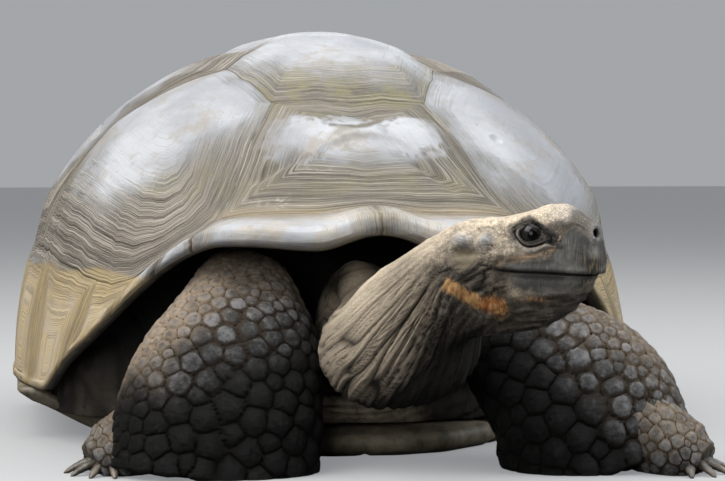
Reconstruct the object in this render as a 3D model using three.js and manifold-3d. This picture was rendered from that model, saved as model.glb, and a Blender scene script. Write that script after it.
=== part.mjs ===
// A giant tortoise at rest, life size: domed carapace, plastron, neck turned to its left,
// splayed forelegs, hind legs, tail, eyes and claws. Millimetres, +Z up.
// X runs to the front, Y to the animal's left. The origin is on the floor below the shell,
// on the flat underside of the plastron.
import * as THREE from 'three';
import { mergeVertices } from 'three/addons/utils/BufferGeometryUtils.js';
import Module from 'manifold-3d';

const wasm = await Module();
wasm.setup();

// Driving dimensions
const gap = 0.3;
const apex = new THREE.Vector3(-25, 0, 590);
const shellFront = 606;
const shellRear = 582;
const shellHalfWidth = 469;
const planSquareness = 0.93;
const shellWall = 16;
const grooveWidth = 9;
const scuteRise = 4;
const scuteBoss = 12;
const plastronThickness = 38;
const bridgeTop = 74;
const plateRise = 4;
const wornPatch = 42;
const eyeRadius = 17;
const headYaw = 55;
const headLength = 210;
const nostrilPoint = new THREE.Vector3(849, 220, 316);
const noseBulge = 9.5;

// A smooth curve through value pairs: a cubic between neighbours, flat at both ends.
function through(pairs) {
  const xs = pairs.map((p) => p[0]);
  const ys = pairs.map((p) => p[1]);
  const slopes = ys.map((y, i) => {
    if (i === 0 || i === ys.length - 1) return 0;
    const before = xs[i] - xs[i - 1];
    const after = xs[i + 1] - xs[i];
    const back = (y - ys[i - 1]) / before;
    const ahead = (ys[i + 1] - y) / after;
    return back * ahead <= 0 ? 0 : (back * after + ahead * before) / (before + after);
  });
  return (x) => {
    const c = Math.min(Math.max(x, xs[0]), xs[xs.length - 1]);
    let i = 0;
    while (i < xs.length - 2 && c > xs[i + 1]) i += 1;
    const h = xs[i + 1] - xs[i];
    const s = (c - xs[i]) / h;
    const a = 2 * s ** 3 - 3 * s ** 2 + 1;
    const b = s ** 3 - 2 * s ** 2 + s;
    const d = s ** 3 - s ** 2;
    return a * ys[i] + b * h * slopes[i] + (1 - a) * ys[i + 1] + d * h * slopes[i + 1];
  };
}

const clamp = (v, low, high) => Math.min(Math.max(v, low), high);
const fade = (v, low, high) => {
  const t = clamp((v - low) / (high - low), 0, 1);
  return t * t * (3 - 2 * t);
};
const signedPower = (v, p) => Math.sign(v) * Math.abs(v) ** p;
const vec = (x, y, z) => new THREE.Vector3(x, y, z);

// Closed triangles to a solid; a solid that comes out inside out is turned.
function solidOf(positions, triangles) {
  const make = (tris) => new wasm.Manifold(new wasm.Mesh({
    numProp: 3,
    vertProperties: new Float32Array(positions),
    triVerts: new Uint32Array(tris),
  }));
  let solid = make(triangles);
  if (solid.volume() < 0) {
    const turned = [];
    for (let i = 0; i < triangles.length; i += 3) {
      turned.push(triangles[i], triangles[i + 2], triangles[i + 1]);
    }
    solid = make(turned);
  }
  return solid;
}

function solidFrom(geometry) {
  const bare = geometry.clone();
  bare.deleteAttribute('normal');
  bare.deleteAttribute('uv');
  const merged = mergeVertices(bare, 1e-3);
  const index = Array.from(merged.index.array);
  const keep = [];
  for (let i = 0; i < index.length; i += 3) {
    const [a, b, c] = [index[i], index[i + 1], index[i + 2]];
    if (a !== b && b !== c && a !== c) keep.push(a, b, c);
  }
  return solidOf(Array.from(merged.attributes.position.array), keep);
}

// Only the largest closed body of a solid is kept.
function largest(solid) {
  const bodies = solid.decompose();
  bodies.sort((a, b) => b.volume() - a.volume());
  return bodies[0];
}

// A closed surface from a sphere's grid: place(u, v) with u once around and v from pole to pole.
function surfaceSolid(around, rows, place) {
  const geometry = new THREE.SphereGeometry(1, around, rows);
  const uv = geometry.attributes.uv;
  const position = geometry.attributes.position;
  for (let i = 0; i < position.count; i += 1) {
    const row = Math.round((1 - uv.getY(i)) * rows);
    const u = row === 0 || row === rows ? 0 : Math.round(uv.getX(i) * around) % around;
    const p = place(u / around, row / rows);
    position.setXYZ(i, p.x, p.y, p.z);
  }
  return solidFrom(geometry);
}

// Carapace: a dome over the disc. rho runs 0 at the apex to 1 at the rim, theta from the front.
const baseHeight = through([[0, 300], [30, 276], [60, 170], [90, 92], [130, 96], [180, 120]]);
const rimHeight = through([
  [0, 304], [9, 284], [20, 289], [27, 284], [33, 262], [40, 222], [48, 172], [58, 118],
  [66, bridgeTop], [116, bridgeTop], [128, 92], [145, 124], [165, 130], [180, 112],
]);
const sideBulge = through([[0, 0.9], [25, 0.93], [50, 0.98], [90, 1.1], [130, 0.93], [180, 0.9]]);
const topBulge = through([[0, 2.3], [25, 2.1], [50, 1.42], [90, 0.94], [130, 1.0], [180, 1.2]]);
const flange = through([[0, 62], [25, 44], [50, 16], [90, 0], [130, 6], [180, 18]]);
const lipDepth = through([[0, 32], [25, 26], [45, 16], [90, 14], [180, 16]]);
const lipRoll = through([[0, 14], [30, 10], [50, 5], [90, 3], [180, 6]]);

function rimPoint(theta) {
  const c = Math.cos(theta);
  const s = Math.sin(theta);
  const reach = c > 0 ? shellFront - apex.x : shellRear + apex.x;
  return vec(apex.x + reach * signedPower(c, planSquareness),
    shellHalfWidth * signedPower(s, planSquareness), 0);
}

function domePoint(rho, theta) {
  const angle = Math.abs(THREE.MathUtils.radToDeg(Math.atan2(Math.sin(theta), Math.cos(theta))));
  const rim = rimPoint(theta);
  const phi = (clamp(rho, 0, 1) * Math.PI) / 2;
  const reach = Math.hypot(rim.x - apex.x, rim.y);
  const lip = flange(angle) / reach;
  const across = (1 - lip) * Math.sin(phi) ** sideBulge(angle) + lip * fade(rho, 0.7, 1.08) / fade(1, 0.7, 1.08);
  const up = Math.max(Math.cos(phi), 0) ** topBulge(angle);
  const edge = baseHeight(angle) + lipDepth(angle);
  const drop = (rimHeight(angle) - baseHeight(angle)) * fade(rho, 0.66, 1);
  return vec(apex.x + (rim.x - apex.x) * across, rim.y * across,
    edge + (apex.z - edge) * up + drop);
}

function domeLifted(rho, theta, lift) {
  if (rho < 0.03) return vec(apex.x, 0, apex.z + lift);
  const r = Math.min(rho, 0.985);
  const along = domePoint(r + 0.01, theta).sub(domePoint(r - 0.01, theta));
  const aside = domePoint(r, theta + 0.02).sub(domePoint(r, theta - 0.02));
  const normal = along.cross(aside).normalize();
  return domePoint(rho, theta).addScaledVector(normal, lift);
}

// Scute corners on the left half, as rho and degrees from the front.
const corner = {
  v0: [0.86, 0], a: [0.86, 26], m1: [0.95, 28.5], m2: [0.978, 33], m3: [0.93, 41],
  m4: [0.85, 51.5], m5: [0.785, 71], k1: [0.78, 78], kc: [0.55, 82], m6: [0.785, 86],
  m7: [0.79, 97], k2: [0.79, 106], m8: [0.79, 112], m9: [0.78, 126], k3: [0.77, 134], m10: [0.75, 143], i: [0.72, 155],
  m11: [0.71, 166], v5: [0.7, 180],
  b: [0.416, 22], v1: [0.418, 0], c: [0.28, 52], d: [0.165, 61], v2: [0.11, 0],
  e: [0.275, 98], f: [0.23, 136], v3: [0.16, 180], g: [0.36, 142], h: [0.43, 162], v4: [0.4, 180],
  r0: [1, 0], r1: [1, 28.5], r2: [1, 36], r3: [1, 45], r4: [1, 60], r5: [1, 73], r6: [1, 87],
  r7: [1, 102], r8: [1, 116], r9: [1, 131], r10: [1, 147], r11: [1, 165],
};
const onMidline = new Set(['v0', 'v1', 'v2', 'v3', 'v4', 'v5', 'r0']);

function discPoint(name) {
  const mirrored = name.endsWith("'");
  const [rho, degrees] = corner[mirrored ? name.slice(0, -1) : name];
  const theta = THREE.MathUtils.degToRad(mirrored ? -degrees : degrees);
  return new THREE.Vector2(rho * Math.cos(theta), rho * Math.sin(theta));
}
const mirrorName = (name) => {
  if (onMidline.has(name)) return name;
  return name.endsWith("'") ? name.slice(0, -1) : `${name}'`;
};

const vertebrals = [
  ['v0', 'a', 'b', 'v1'], ['v1', 'b', 'c', 'd', 'v2'], ['v2', 'd', 'e', 'f', 'v3'],
  ['v3', 'f', 'g', 'h', 'v4'], ['v4', 'h', 'i', 'm11', 'v5'],
].map((half) => half.concat(half.slice(1, -1).reverse().map(mirrorName)));
const costals = [
  ['a', 'm1', 'm2', 'm3', 'm4', 'm5', 'k1', 'kc', 'c', 'b'],
  ['k1', 'm6', 'm7', 'k2', 'e', 'd', 'c', 'kc'],
  ['k2', 'm8', 'm9', 'k3', 'g', 'f', 'e'], ['k3', 'm10', 'i', 'h', 'g'],
];
const marginals = [
  ['v0', 'r0', 'r1', 'm1', 'a'], ['m1', 'r1', 'r2', 'm2'], ['m2', 'r2', 'r3', 'm3'],
  ['m3', 'r3', 'r4', 'm4'], ['m4', 'r4', 'r5', 'm5'], ['m5', 'r5', 'r6', 'm6', 'k1'],
  ['m6', 'r6', 'r7', 'm7'], ['m7', 'r7', 'r8', 'm8', 'k2'], ['m8', 'r8', 'r9', 'm9'],
  ['m9', 'r9', 'r10', 'm10', 'k3'], ['m10', 'r10', 'r11', 'm11', 'i'],
];
const supracaudal = ['m11', 'r11', "r11'", "m11'", 'v5'];
const bothSides = (list) => list.concat(list.map((loop) => loop.map(mirrorName)));
const scutes = [
  ...vertebrals.map((loop) => ({ loop, rise: scuteRise, boss: scuteBoss })),
  ...bothSides(costals).map((loop) => ({ loop, rise: scuteRise, boss: scuteBoss })),
  ...bothSides(marginals).map((loop) => ({ loop, rise: scuteRise - 1, boss: scuteRise })),
  { loop: supracaudal, rise: scuteRise - 1, boss: scuteRise },
];

// The points along the seam from one corner to the next, the same from either side.
function seam(from, to) {
  const a = discPoint(from);
  const b = discPoint(to);
  const rim = a.length() > 0.999 && b.length() > 0.999;
  const steps = Math.max(1, Math.round(a.distanceTo(b) / (rim ? 0.09 : 0.12)));
  const points = [];
  for (let k = 0; k < steps; k += 1) {
    const p = a.clone().lerp(b, k / steps);
    if (rim) p.setLength(1);
    points.push(p);
  }
  return points;
}

function carapaceSolid() {
  const positions = [];
  const triangles = [];
  const known = new Map();
  const add = (p) => {
    positions.push(p.x, p.y, p.z);
    return positions.length / 3 - 1;
  };
  const onSeam = (p) => {
    const key = `${Math.round(p.x * 2000)},${Math.round(p.y * 2000)}`;
    if (!known.has(key)) {
      known.set(key, { id: add(domePoint(p.length(), p.angle())), disc: p });
    }
    return known.get(key).id;
  };
  const band = (outer, inner) => {
    outer.forEach((o, k) => {
      const next = (k + 1) % outer.length;
      triangles.push(o, outer[next], inner[next], o, inner[next], inner[k]);
    });
  };
  scutes.forEach(({ loop, rise, boss }) => {
    let outline = loop.flatMap((name, k) => seam(name, loop[(k + 1) % loop.length]));
    if (THREE.ShapeUtils.isClockWise(outline)) outline = outline.slice().reverse();
    const centre = outline.reduce((sum, p) => sum.add(p), new THREE.Vector2())
      .divideScalar(outline.length);
    const edge = outline.map(onSeam);
    const inset = grooveWidth / 450;
    const shoulder = outline.map((p) => {
      const inward = centre.clone().sub(p);
      const q = p.clone().addScaledVector(inward, Math.min(inset / inward.length(), 0.3));
      return add(domeLifted(q.length(), q.angle(), rise));
    });
    const middle = outline.map((p) => {
      const q = centre.clone().lerp(p, 0.5);
      return add(domeLifted(q.length(), q.angle(), (rise + boss) / 2 + 1));
    });
    band(edge, shoulder);
    band(shoulder, middle);
    const tip = add(domeLifted(centre.length(), centre.angle(), boss));
    middle.forEach((m, k) => triangles.push(m, middle[(k + 1) % middle.length], tip));
  });
  const rim = [...known.values()].filter((s) => s.disc.length() > 0.999)
    .sort((a, b) => a.disc.angle() - b.disc.angle());
  const thetas = rim.map((s) => s.disc.angle());
  let last = rim.map((s) => s.id);
  const ring = (place) => {
    const next = thetas.map((theta) => add(place(theta)));
    last.forEach((o, k) => {
      const j = (k + 1) % last.length;
      triangles.push(o, next[j], last[j], o, next[k], next[j]);
    });
    last = next;
  };
  const rimSide = (theta, out, z) => {
    const aside = rimPoint(theta + 0.02).sub(rimPoint(theta - 0.02)).normalize();
    const p = rimPoint(theta).add(vec(aside.y * out, -aside.x * out, 0));
    return vec(p.x, p.y, z);
  };
  const degreesOf = (theta) => Math.abs(THREE.MathUtils.radToDeg(
    Math.atan2(Math.sin(theta), Math.cos(theta))));
  ring((t) => rimSide(t, lipRoll(degreesOf(t)),
    rimHeight(degreesOf(t)) + lipDepth(degreesOf(t)) * 0.5));
  ring((t) => rimSide(t, lipRoll(degreesOf(t)) * 0.4, rimHeight(degreesOf(t))));
  ring((t) => rimSide(t, -14, rimHeight(degreesOf(t))));
  innerRings.forEach((share) => ring((t) => innerPoint(t, share, shellWall)));
  const top = add(vec(apex.x, 0, apex.z - shellWall));
  last.forEach((o, k) => triangles.push(o, top, last[(k + 1) % last.length]));
  return { solid: solidOf(positions, triangles), thetas };
}

// The inner face of the shell, the same facets at any depth below the dome.
const innerRings = [1, 0.86, 0.68, 0.48, 0.28, 0.12];
function innerPoint(theta, share, depth) {
  const angle = Math.abs(THREE.MathUtils.radToDeg(Math.atan2(Math.sin(theta), Math.cos(theta))));
  const reach = rimPoint(theta).sub(vec(apex.x, 0, 0)).length();
  const start = (2 / Math.PI) * Math.asin((1 - (24 + flange(angle)) / reach) ** (1 / sideBulge(angle)));
  return domeLifted(start * share, theta, -depth);
}

// Torso: fills the shell down to the plastron, with the shell's inner facets a gap away.
function torsoSolid(thetas, grow) {
  const positions = [];
  const triangles = [];
  const add = (p) => {
    positions.push(p.x, p.y, p.z);
    return positions.length / 3 - 1;
  };
  const top = add(vec(apex.x, 0, apex.z - shellWall - gap));
  let last = null;
  const rings = innerRings.slice(1).reverse();
  rings.forEach((share) => {
    const next = thetas.map((t) => add(innerPoint(t, share, shellWall + gap)));
    next.forEach((n, k) => {
      const j = (k + 1) % next.length;
      if (last) triangles.push(last[k], n, last[j], n, next[j], last[j]);
      else triangles.push(top, n, next[j]);
    });
    last = next;
  });
  const foot = last.map((id) => add(vec(
    positions[id * 3] * 0.97, positions[id * 3 + 1] * 0.97, plastronThickness + gap - grow)));
  last.forEach((n, k) => {
    const j = (k + 1) % last.length;
    triangles.push(n, foot[k], foot[j], n, foot[j], last[j]);
  });
  const low = add(vec(apex.x, 0, plastronThickness + gap - grow));
  foot.forEach((n, k) => triangles.push(n, low, foot[(k + 1) % foot.length]));
  for (let i = 0; i < positions.length && grow > 0; i += 3) {
    const out = vec(positions[i] - apex.x, positions[i + 1], 0).setLength(grow * 1.6);
    positions[i] += out.x;
    positions[i + 1] += out.y;
  }
  const block = (x0, x1) => {
    const box = new THREE.BoxGeometry(x1 - x0, 1200, 900);
    box.translate((x0 + x1) / 2, 0, 400);
    return solidFrom(box);
  };
  const front = 392 + grow;
  const rear = -452 - grow;
  return largest(solidOf(positions, triangles).subtract(block(front, 900)).subtract(block(-900, rear)));
}

// Plastron: a plate with two bridges that reach the shell's rim, and raised scutes below.
const plastronHalf = [
  [492, 0], [494, 48], [470, 118], [405, 186], [318, 250], [236, 318], [-232, 318],
  [-318, 262], [-398, 206], [-452, 128], [-448, 60], [-428, 0],
];
const plastronScutes = [
  [[486, 4], [487, 46], [464, 112], [388, 60], [372, 4]],
  [[366, 4], [382, 63], [459, 118], [400, 180], [316, 240], [232, 230], [222, 4]],
  [[214, 4], [224, 238], [308, 248], [232, 304], [120, 304], [96, 4]],
  [[88, 4], [112, 304], [-150, 304], [-140, 4]],
  [[-148, 4], [-158, 304], [-228, 306], [-310, 254], [-300, 4]],
  [[-308, 4], [-318, 250], [-392, 200], [-444, 126], [-440, 60], [-422, 4]],
];

// A solid from rings of equal count, one above the other, its ends closed by their outline.
function stackSolid(rings) {
  const positions = rings.flat().flatMap((p) => [p.x, p.y, p.z]);
  const count = rings[0].length;
  const triangles = [];
  for (let r = 0; r < rings.length - 1; r += 1) {
    for (let k = 0; k < count; k += 1) {
      const a = r * count + k;
      const b = r * count + ((k + 1) % count);
      triangles.push(a, b, b + count, a, b + count, a + count);
    }
  }
  const flat = rings[0].map((p) => new THREE.Vector2(p.x, p.y));
  const lid = THREE.ShapeUtils.triangulateShape(flat, []);
  const high = (rings.length - 1) * count;
  const wound = THREE.ShapeUtils.isClockWise(flat) ? -1 : 1;
  lid.forEach(([a, b, c]) => {
    const area = (flat[b].x - flat[a].x) * (flat[c].y - flat[a].y)
      - (flat[c].x - flat[a].x) * (flat[b].y - flat[a].y);
    const [p, q] = area * wound > 0 ? [b, c] : [c, b];
    triangles.push(a, q, p, a + high, p + high, q + high);
  });
  return solidOf(positions, triangles);
}

function insetRing(outline, inset, z) {
  const centre = outline.reduce((sum, p) => sum.add(p), new THREE.Vector2())
    .divideScalar(outline.length);
  return outline.map((p) => {
    const inward = centre.clone().sub(p);
    const q = p.clone().addScaledVector(inward, Math.min(inset / inward.length(), 0.9));
    return vec(q.x, q.y, z);
  });
}

function plastronSolid(grow) {
  const right = plastronHalf.slice(1, -1).reverse().map(([x, y]) => [x, -y]);
  const outline = [...plastronHalf, ...right].map(([x, y]) => new THREE.Vector2(x, y));
  let solid = stackSolid([
    insetRing(outline, grow > 0 ? 0 : 16, grow > 0 ? -1 : plateRise), insetRing(outline, -grow, 18),
    insetRing(outline, -grow, plastronThickness - 14),
    insetRing(outline, 8 - grow, plastronThickness + grow),
  ]);
  [1, -1].forEach((side) => {
    const section = [
      [296, 8], [330, 10], [390, 22], [434, 42], [464, 64], [466, bridgeTop - gap + grow],
      [436 - grow, bridgeTop - gap + grow], [384, 50 + grow],
      [350, plastronThickness - 1 + grow], [296, plastronThickness - 2 + grow],
    ];
    const ends = [-232 - grow, -196, 176, 212 + grow];
    const rings = ends.map((x, k) => section.map(([y, z]) => {
      const narrow = k === 0 || k === ends.length - 1 ? 0.975 : 1;
      return vec(x, side * y * narrow, z);
    }));
    const turned = rings.map((ring) => ring.map((p) => vec(p.y, p.z, p.x)));
    const wing = stackSolid(turned);
    const turn = new THREE.Matrix4().set(0, 0, 1, 0, 1, 0, 0, 0, 0, 1, 0, 0, 0, 0, 0, 1);
    solid = solid.add(moved(wing, turn));
  });
  if (grow > 0) return solid;
  const worn = Array.from({ length: 12 }, (_, k) => {
    const angle = (k * Math.PI) / 6;
    return new THREE.Vector2(wornPatch * Math.cos(angle), wornPatch * Math.sin(angle));
  });
  solid = solid.add(stackSolid([
    insetRing(worn, 5, 0), insetRing(worn, 0, plateRise), insetRing(worn, 0, 12),
  ]));
  plastronScutes.forEach((half) => [1, -1].forEach((side) => {
    const plate = half.map(([x, y]) => new THREE.Vector2(x, side * y));
    solid = solid.add(stackSolid([
      insetRing(plate, 5, 0), insetRing(plate, 0, plateRise), insetRing(plate, 0, 12),
    ]));
  }));
  return largest(solid);
}

function moved(solid, matrix) {
  return solid.transform(matrix.elements);
}

// A limb or neck: a curve through stations [x, y, z, across, thick], its broad side to facing.
function limbOf(stations, facing, fullness = 2.3) {
  const path = new THREE.CatmullRomCurve3(stations.map((s) => vec(s[0], s[1], s[2])), false, 'centripetal');
  const sizes = new THREE.CatmullRomCurve3(stations.map((s) => vec(s[3], s[4], 0)), false, 'catmullrom', 0.5);
  return (u, t, lift = 0, scale = 1) => {
    const centre = path.getPoint(t);
    const tangent = path.getTangent(t).normalize();
    const face = facing.clone().addScaledVector(tangent, -facing.dot(tangent)).normalize();
    const side = tangent.clone().cross(face);
    const size = sizes.getPoint(t);
    const angle = u * 2 * Math.PI;
    const c = signedPower(Math.cos(angle), 2 / fullness);
    const s = signedPower(Math.sin(angle), 2 / fullness);
    return centre.addScaledVector(side, (size.x * scale + lift) * c)
      .addScaledVector(face, (size.y * scale + lift) * s);
  };
}

// A limb covered in raised six-sided scales, brick-staggered, closed by a fan at either end.
function scaledLimb(place, around, rows, from, to, rise, grow) {
  const positions = [];
  const triangles = [];
  const known = new Map();
  const add = (p) => {
    positions.push(p.x, p.y, p.z);
    return positions.length / 3 - 1;
  };
  const parameter = (s) => from + ((to - from) * (s + 1)) / (rows + 1 / 3);
  const corners = (i, j) => {
    const mid = 2 * j + (i % 2);
    return [[0, 2], [1, 1], [1, -1], [0, -2], [-1, -1], [-1, 1]]
      .map(([x, y]) => [mid + x, 3 * i + y]);
  };
  const at = ([x, y]) => {
    const turn = ((x % (2 * around)) + 2 * around) % (2 * around);
    const key = `${turn},${y}`;
    if (!known.has(key)) known.set(key, add(place(turn / (2 * around), parameter(y / 3), grow)));
    return known.get(key);
  };
  for (let i = 0; i < rows; i += 1) {
    for (let j = 0; j < around; j += 1) {
      const loop = corners(i, j);
      const mid = [2 * j + (i % 2), 3 * i];
      const outer = loop.map(at);
      const inner = loop.map(([x, y]) => {
        const sx = mid[0] + (x - mid[0]) * 0.72;
        const sy = mid[1] + (y - mid[1]) * 0.72;
        return add(place(sx / (2 * around), parameter(sy / 3), rise + grow));
      });
      const tip = add(place(mid[0] / (2 * around), parameter(mid[1] / 3), rise * 1.5 + grow));
      outer.forEach((o, k) => {
        const n = (k + 1) % 6;
        triangles.push(o, outer[n], inner[n], o, inner[n], inner[k], inner[k], inner[n], tip);
      });
    }
  }
  const endRing = (row, way) => {
    const ids = [];
    for (let j = 0; j < around; j += 1) {
      const mid = 2 * j + (row % 2);
      ids.push(at([mid - 1, 3 * row + way]), at([mid, 3 * row + 2 * way]));
    }
    return ids;
  };
  const centreOf = (t) => place(0, t).add(place(0.5, t)).multiplyScalar(0.5);
  const first = endRing(0, -1);
  const start = add(centreOf(from));
  first.forEach((id, k) => triangles.push(id, first[(k + 1) % first.length], start));
  const final = endRing(rows - 1, 1);
  const finish = add(centreOf(to));
  final.forEach((id, k) => triangles.push(id, finish, final[(k + 1) % final.length]));
  return solidOf(positions, triangles);
}

// A plain stretch of limb with rounded ends.
function plainLimb(place, around, rows, from, to, grow) {
  return surfaceSolid(around, rows, (u, v) => {
    const t = from + (to - from) * v;
    const end = Math.sin(Math.min(v * rows, (1 - v) * rows, 1) * Math.PI / 2);
    if (end < 1e-6) return place(0, t).add(place(0.5, t)).multiplyScalar(0.5);
    return place(u, t, grow, end * 0.97);
  });
}

// A claw: a tapered curved horn from its root, pointing along reach and drooping to the tip.
function clawSolid(root, reach, length, width, height, grow) {
  const forward = reach.clone().normalize();
  const side = forward.clone().cross(vec(0, 0, 1)).normalize();
  const up = side.clone().cross(forward);
  return surfaceSolid(6, 4, (u, v) => {
    const along = -0.25 + 1.25 * v;
    const taper = Math.sqrt(Math.max(0, 1 - v ** 2.2)) * (v === 0 ? 0 : 1);
    const angle = 2 * Math.PI * u;
    const droop = -0.28 * length * v * v;
    const ends = { 0: -grow, 1: grow };
    return root.clone().addScaledVector(forward, along * length + (ends[v] || 0))
      .addScaledVector(side, Math.cos(angle) * (width / 2 * taper + (taper > 0 ? grow : 0)))
      .addScaledVector(up, Math.sin(angle) * (height / 2 * taper + (taper > 0 ? grow : 0)) + droop);
  });
}

const floorCut = (solid, z = 0) => solid.trimByPlane([0, 0, 1], z);

// Head: sections from the nose back, in the head's own frame. f runs to the nose, s to its
// left, k up, with the origin midway between the nostrils.
const yaw = THREE.MathUtils.degToRad(headYaw);
const noseWay = vec(Math.cos(yaw), Math.sin(yaw), 0);
const leftWay = vec(-Math.sin(yaw), Math.cos(yaw), 0);
const headPoint = (f, s, k) => nostrilPoint.clone().addScaledVector(noseWay, f)
  .addScaledVector(leftWay, s).add(vec(0, 0, k));
const headTop = through([
  [0, 11], [12, 17], [27, 27], [42, 33], [58, 32], [76, 26], [99, 20], [125, 16], [165, 13],
  [192, 5], [219, -10],
]);
const headBottom = through([
  [0, -54], [4, -60], [8, -67], [17, -81], [30, -95], [45, -105], [68, -117], [100, -124],
  [135, -128], [165, -129], [190, -122], [219, -100],
]);
const headHalf = through([
  [0, 18], [5, 21], [15, 28], [30, 34], [50, 41], [75, 51], [100, 58], [130, 65], [160, 66],
  [190, 60], [219, 46],
]);
const mouthLine = through([[0, -52], [30, -50.5], [60, -49], [90, -47.5], [120, -43]]);

function headSurface(u, back) {
  const d = Math.max(back, 0);
  const top = headTop(d);
  const bottom = headBottom(d);
  const mid = (top + bottom) / 2 + 6;
  const angle = 2 * Math.PI * u;
  const c = Math.cos(angle);
  const s = Math.sin(angle);
  const square = 2 / 2.5;
  let half = headHalf(d) * Math.abs(c) ** square;
  const k = s > 0 ? mid + (top - mid) * s ** square : mid - (mid - bottom) * (-s) ** square;
  const below = fade(mouthLine(d) - k, 1, 9) * (1 - fade(d, 75, 115));
  half *= 1 - 0.07 * below;
  const brow = Math.exp(-(((d - 65) / 24) ** 2) - ((k - 16) / 9) ** 2);
  half += 5 * brow;
  const jaw = Math.exp(-(((d - 135) / 26) ** 2) - ((k + 58) / 22) ** 2);
  half += 4 * jaw;
  return headPoint(-back, Math.sign(c) * half, k);
}

function headSolid(grow) {
  const rows = 22;
  const noseRows = 4;
  return surfaceSolid(26, rows, (u, v) => {
    const nose = Math.min((v * rows) / noseRows, 1) * (Math.PI / 2);
    const rest = Math.max(0, (v * rows - noseRows) / (rows - noseRows));
    const tail = Math.sin(Math.min((1 - v) * 8, 1) * (Math.PI / 2));
    const back = -noseBulge * Math.cos(nose) + headLength * rest ** 1.1;
    const p = headSurface(u, back);
    const d = Math.max(back, 0);
    const axis = headPoint(-back, 0, rest > 0 ? (headTop(d) + headBottom(d)) / 2 : -22);
    axis.lerp(p, Math.min(Math.sin(nose) ** 0.8, tail) ** 0.9);
    const outward = axis.clone().sub(headPoint(-100, 0, -45)).normalize();
    return axis.addScaledVector(outward, grow * 1.6);
  });
}

const eyeBack = 66;
const eyeUp = -2;
const eyeCentre = (side) => headPoint(-eyeBack, side * 33, eyeUp);

function ballSolid(centre, radius, around = 14, rows = 8) {
  const ball = new THREE.SphereGeometry(radius, around, rows);
  ball.rotateX(Math.PI / 2);
  ball.translate(centre.x, centre.y, centre.z);
  return solidFrom(ball);
}

// An eyelid: a bent roll over or under the eye.
function lidSolid(side, over) {
  const centre = eyeCentre(side);
  return surfaceSolid(6, 8, (u, v) => {
    const swing = (v - 0.5) * 2;
    const thick = 4.2 * Math.sqrt(Math.max(0, 1 - swing ** 4));
    const angle = 2 * Math.PI * u;
    const f = swing * 19;
    const k = (over ? 11 : -10) * (1 - 0.75 * swing * swing);
    const out = Math.sqrt(Math.max(0, 400 - f * f * 0.5 - k * k)) * 0.86;
    const p = centre.clone().addScaledVector(noseWay, f).add(vec(0, 0, k))
      .addScaledVector(leftWay, side * (out + Math.cos(angle) * thick));
    return p.add(vec(0, 0, Math.sin(angle) * thick));
  });
}

// The slit of the mouth: a thin horseshoe band that enters the lips a little way.
function mouthSlit() {
  const backs = [];
  for (let k = 0; k <= 9; k += 1) backs.push(111 * (k / 9) ** 1.4 - 1);
  const path = [...backs.slice().reverse().map((d) => [d, 1]), ...backs.map((d) => [d, -1])];
  const ring = (scale, drop) => path.map(([d, side]) => {
    const depth = scale > 0 ? 9 : -8 * (1 - fade(d, 64, 111));
    const half = headHalf(Math.max(d, 0)) * 0.98 + depth;
    const back = d < 4 ? d - (scale > 0 ? 22 : 2) : d;
    return headPoint(-back, side * Math.max(half - (d < 4 ? 6 : 0), 2), mouthLine(Math.max(d, 0)) + drop);
  });
  const rings = [ring(1, 1.3), ring(-1, 1.1), ring(-1, -1.1), ring(1, -1.3)];
  const positions = rings.flat().flatMap((p) => [p.x, p.y, p.z]);
  const count = path.length;
  const triangles = [];
  for (let k = 0; k < count - 1; k += 1) {
    for (let r = 0; r < 4; r += 1) {
      const a = r * count + k;
      const b = ((r + 1) % 4) * count + k;
      triangles.push(a, a + 1, b + 1, a, b + 1, b);
    }
  }
  triangles.push(0, count, 2 * count, 0, 2 * count, 3 * count);
  const e = count - 1;
  triangles.push(e, e + 2 * count, e + count, e, e + 3 * count, e + 2 * count);
  return solidOf(positions, triangles);
}

// Neck: from inside the shell, down into the throat bag and up to the head, in soft pleats.
const neckStations = [
  [350, 0, 178, 56, 78], [430, 2, 177, 59, 86], [480, 4, 175, 63, 91], [530, 8, 162, 71, 76],
  [600, 10, 163, 86, 79], [668, 36, 190, 82, 84], [722, 64, 226, 70, 72], [762, 100, 258, 60, 62],
];
const neckPlace = limbOf(neckStations, vec(0.15, 0.1, 1), 2.1);

function neckSolid(grow) {
  return surfaceSolid(20, 16, (u, v) => {
    const end = Math.sin(Math.min(v * 9, (1 - v) * 9, 1) * Math.PI / 2);
    const fold = 2.4 * Math.cos(2 * Math.PI * u * 10) * fade(v, 0.15, 0.3) * (1 - fade(v, 0.85, 1));
    const ruffle = 2.2 * Math.sin(v * 34 + 3 * Math.sin(2 * Math.PI * u)) * fade(v, 0.1, 0.3);
    if (end < 1e-6) return neckPlace(0, v).add(neckPlace(0.5, v)).multiplyScalar(0.5);
    return neckPlace(u, v, (fold + ruffle) * end + grow, end);
  });
}

const rightForeleg = [
  [270, -160, 165, 66, 66], [380, -160, 205, 64, 62], [462, -165, 214, 70, 62],
  [530, -179, 158, 108, 75], [570, -204, 82, 130, 82], [584, -220, -12, 134, 84],
];
const leftForeleg = [
  [270, 165, 165, 66, 66], [380, 175, 205, 62, 62], [456, 188, 210, 62, 62],
  [530, 209, 150, 88, 74], [593, 266, 80, 122, 84], [618, 296, -12, 124, 80],
];
const forefeet = {
  right: { path: [[545, -250, 78, 46, 52], [556, -300, 46, 46, 48], [566, -344, 16, 50, 44],
    [573, -368, 8, 34, 30]], heading: vec(0.5, -0.86, 0) },
  left: { path: [[612, 300, 78, 48, 52], [648, 346, 46, 47, 48], [676, 384, 16, 50, 44],
    [690, 404, 8, 34, 30]], heading: vec(0.62, 0.78, 0) },
};
const hindStations = (side) => [
  [-230, side * 210, 150, 78, 78], [-300, side * 245, 120, 80, 75], [-350, side * 270, 75, 76, 70],
  [-375, side * 285, 30, 76, 74], [-380, side * 288, -24, 82, 80],
];
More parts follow.
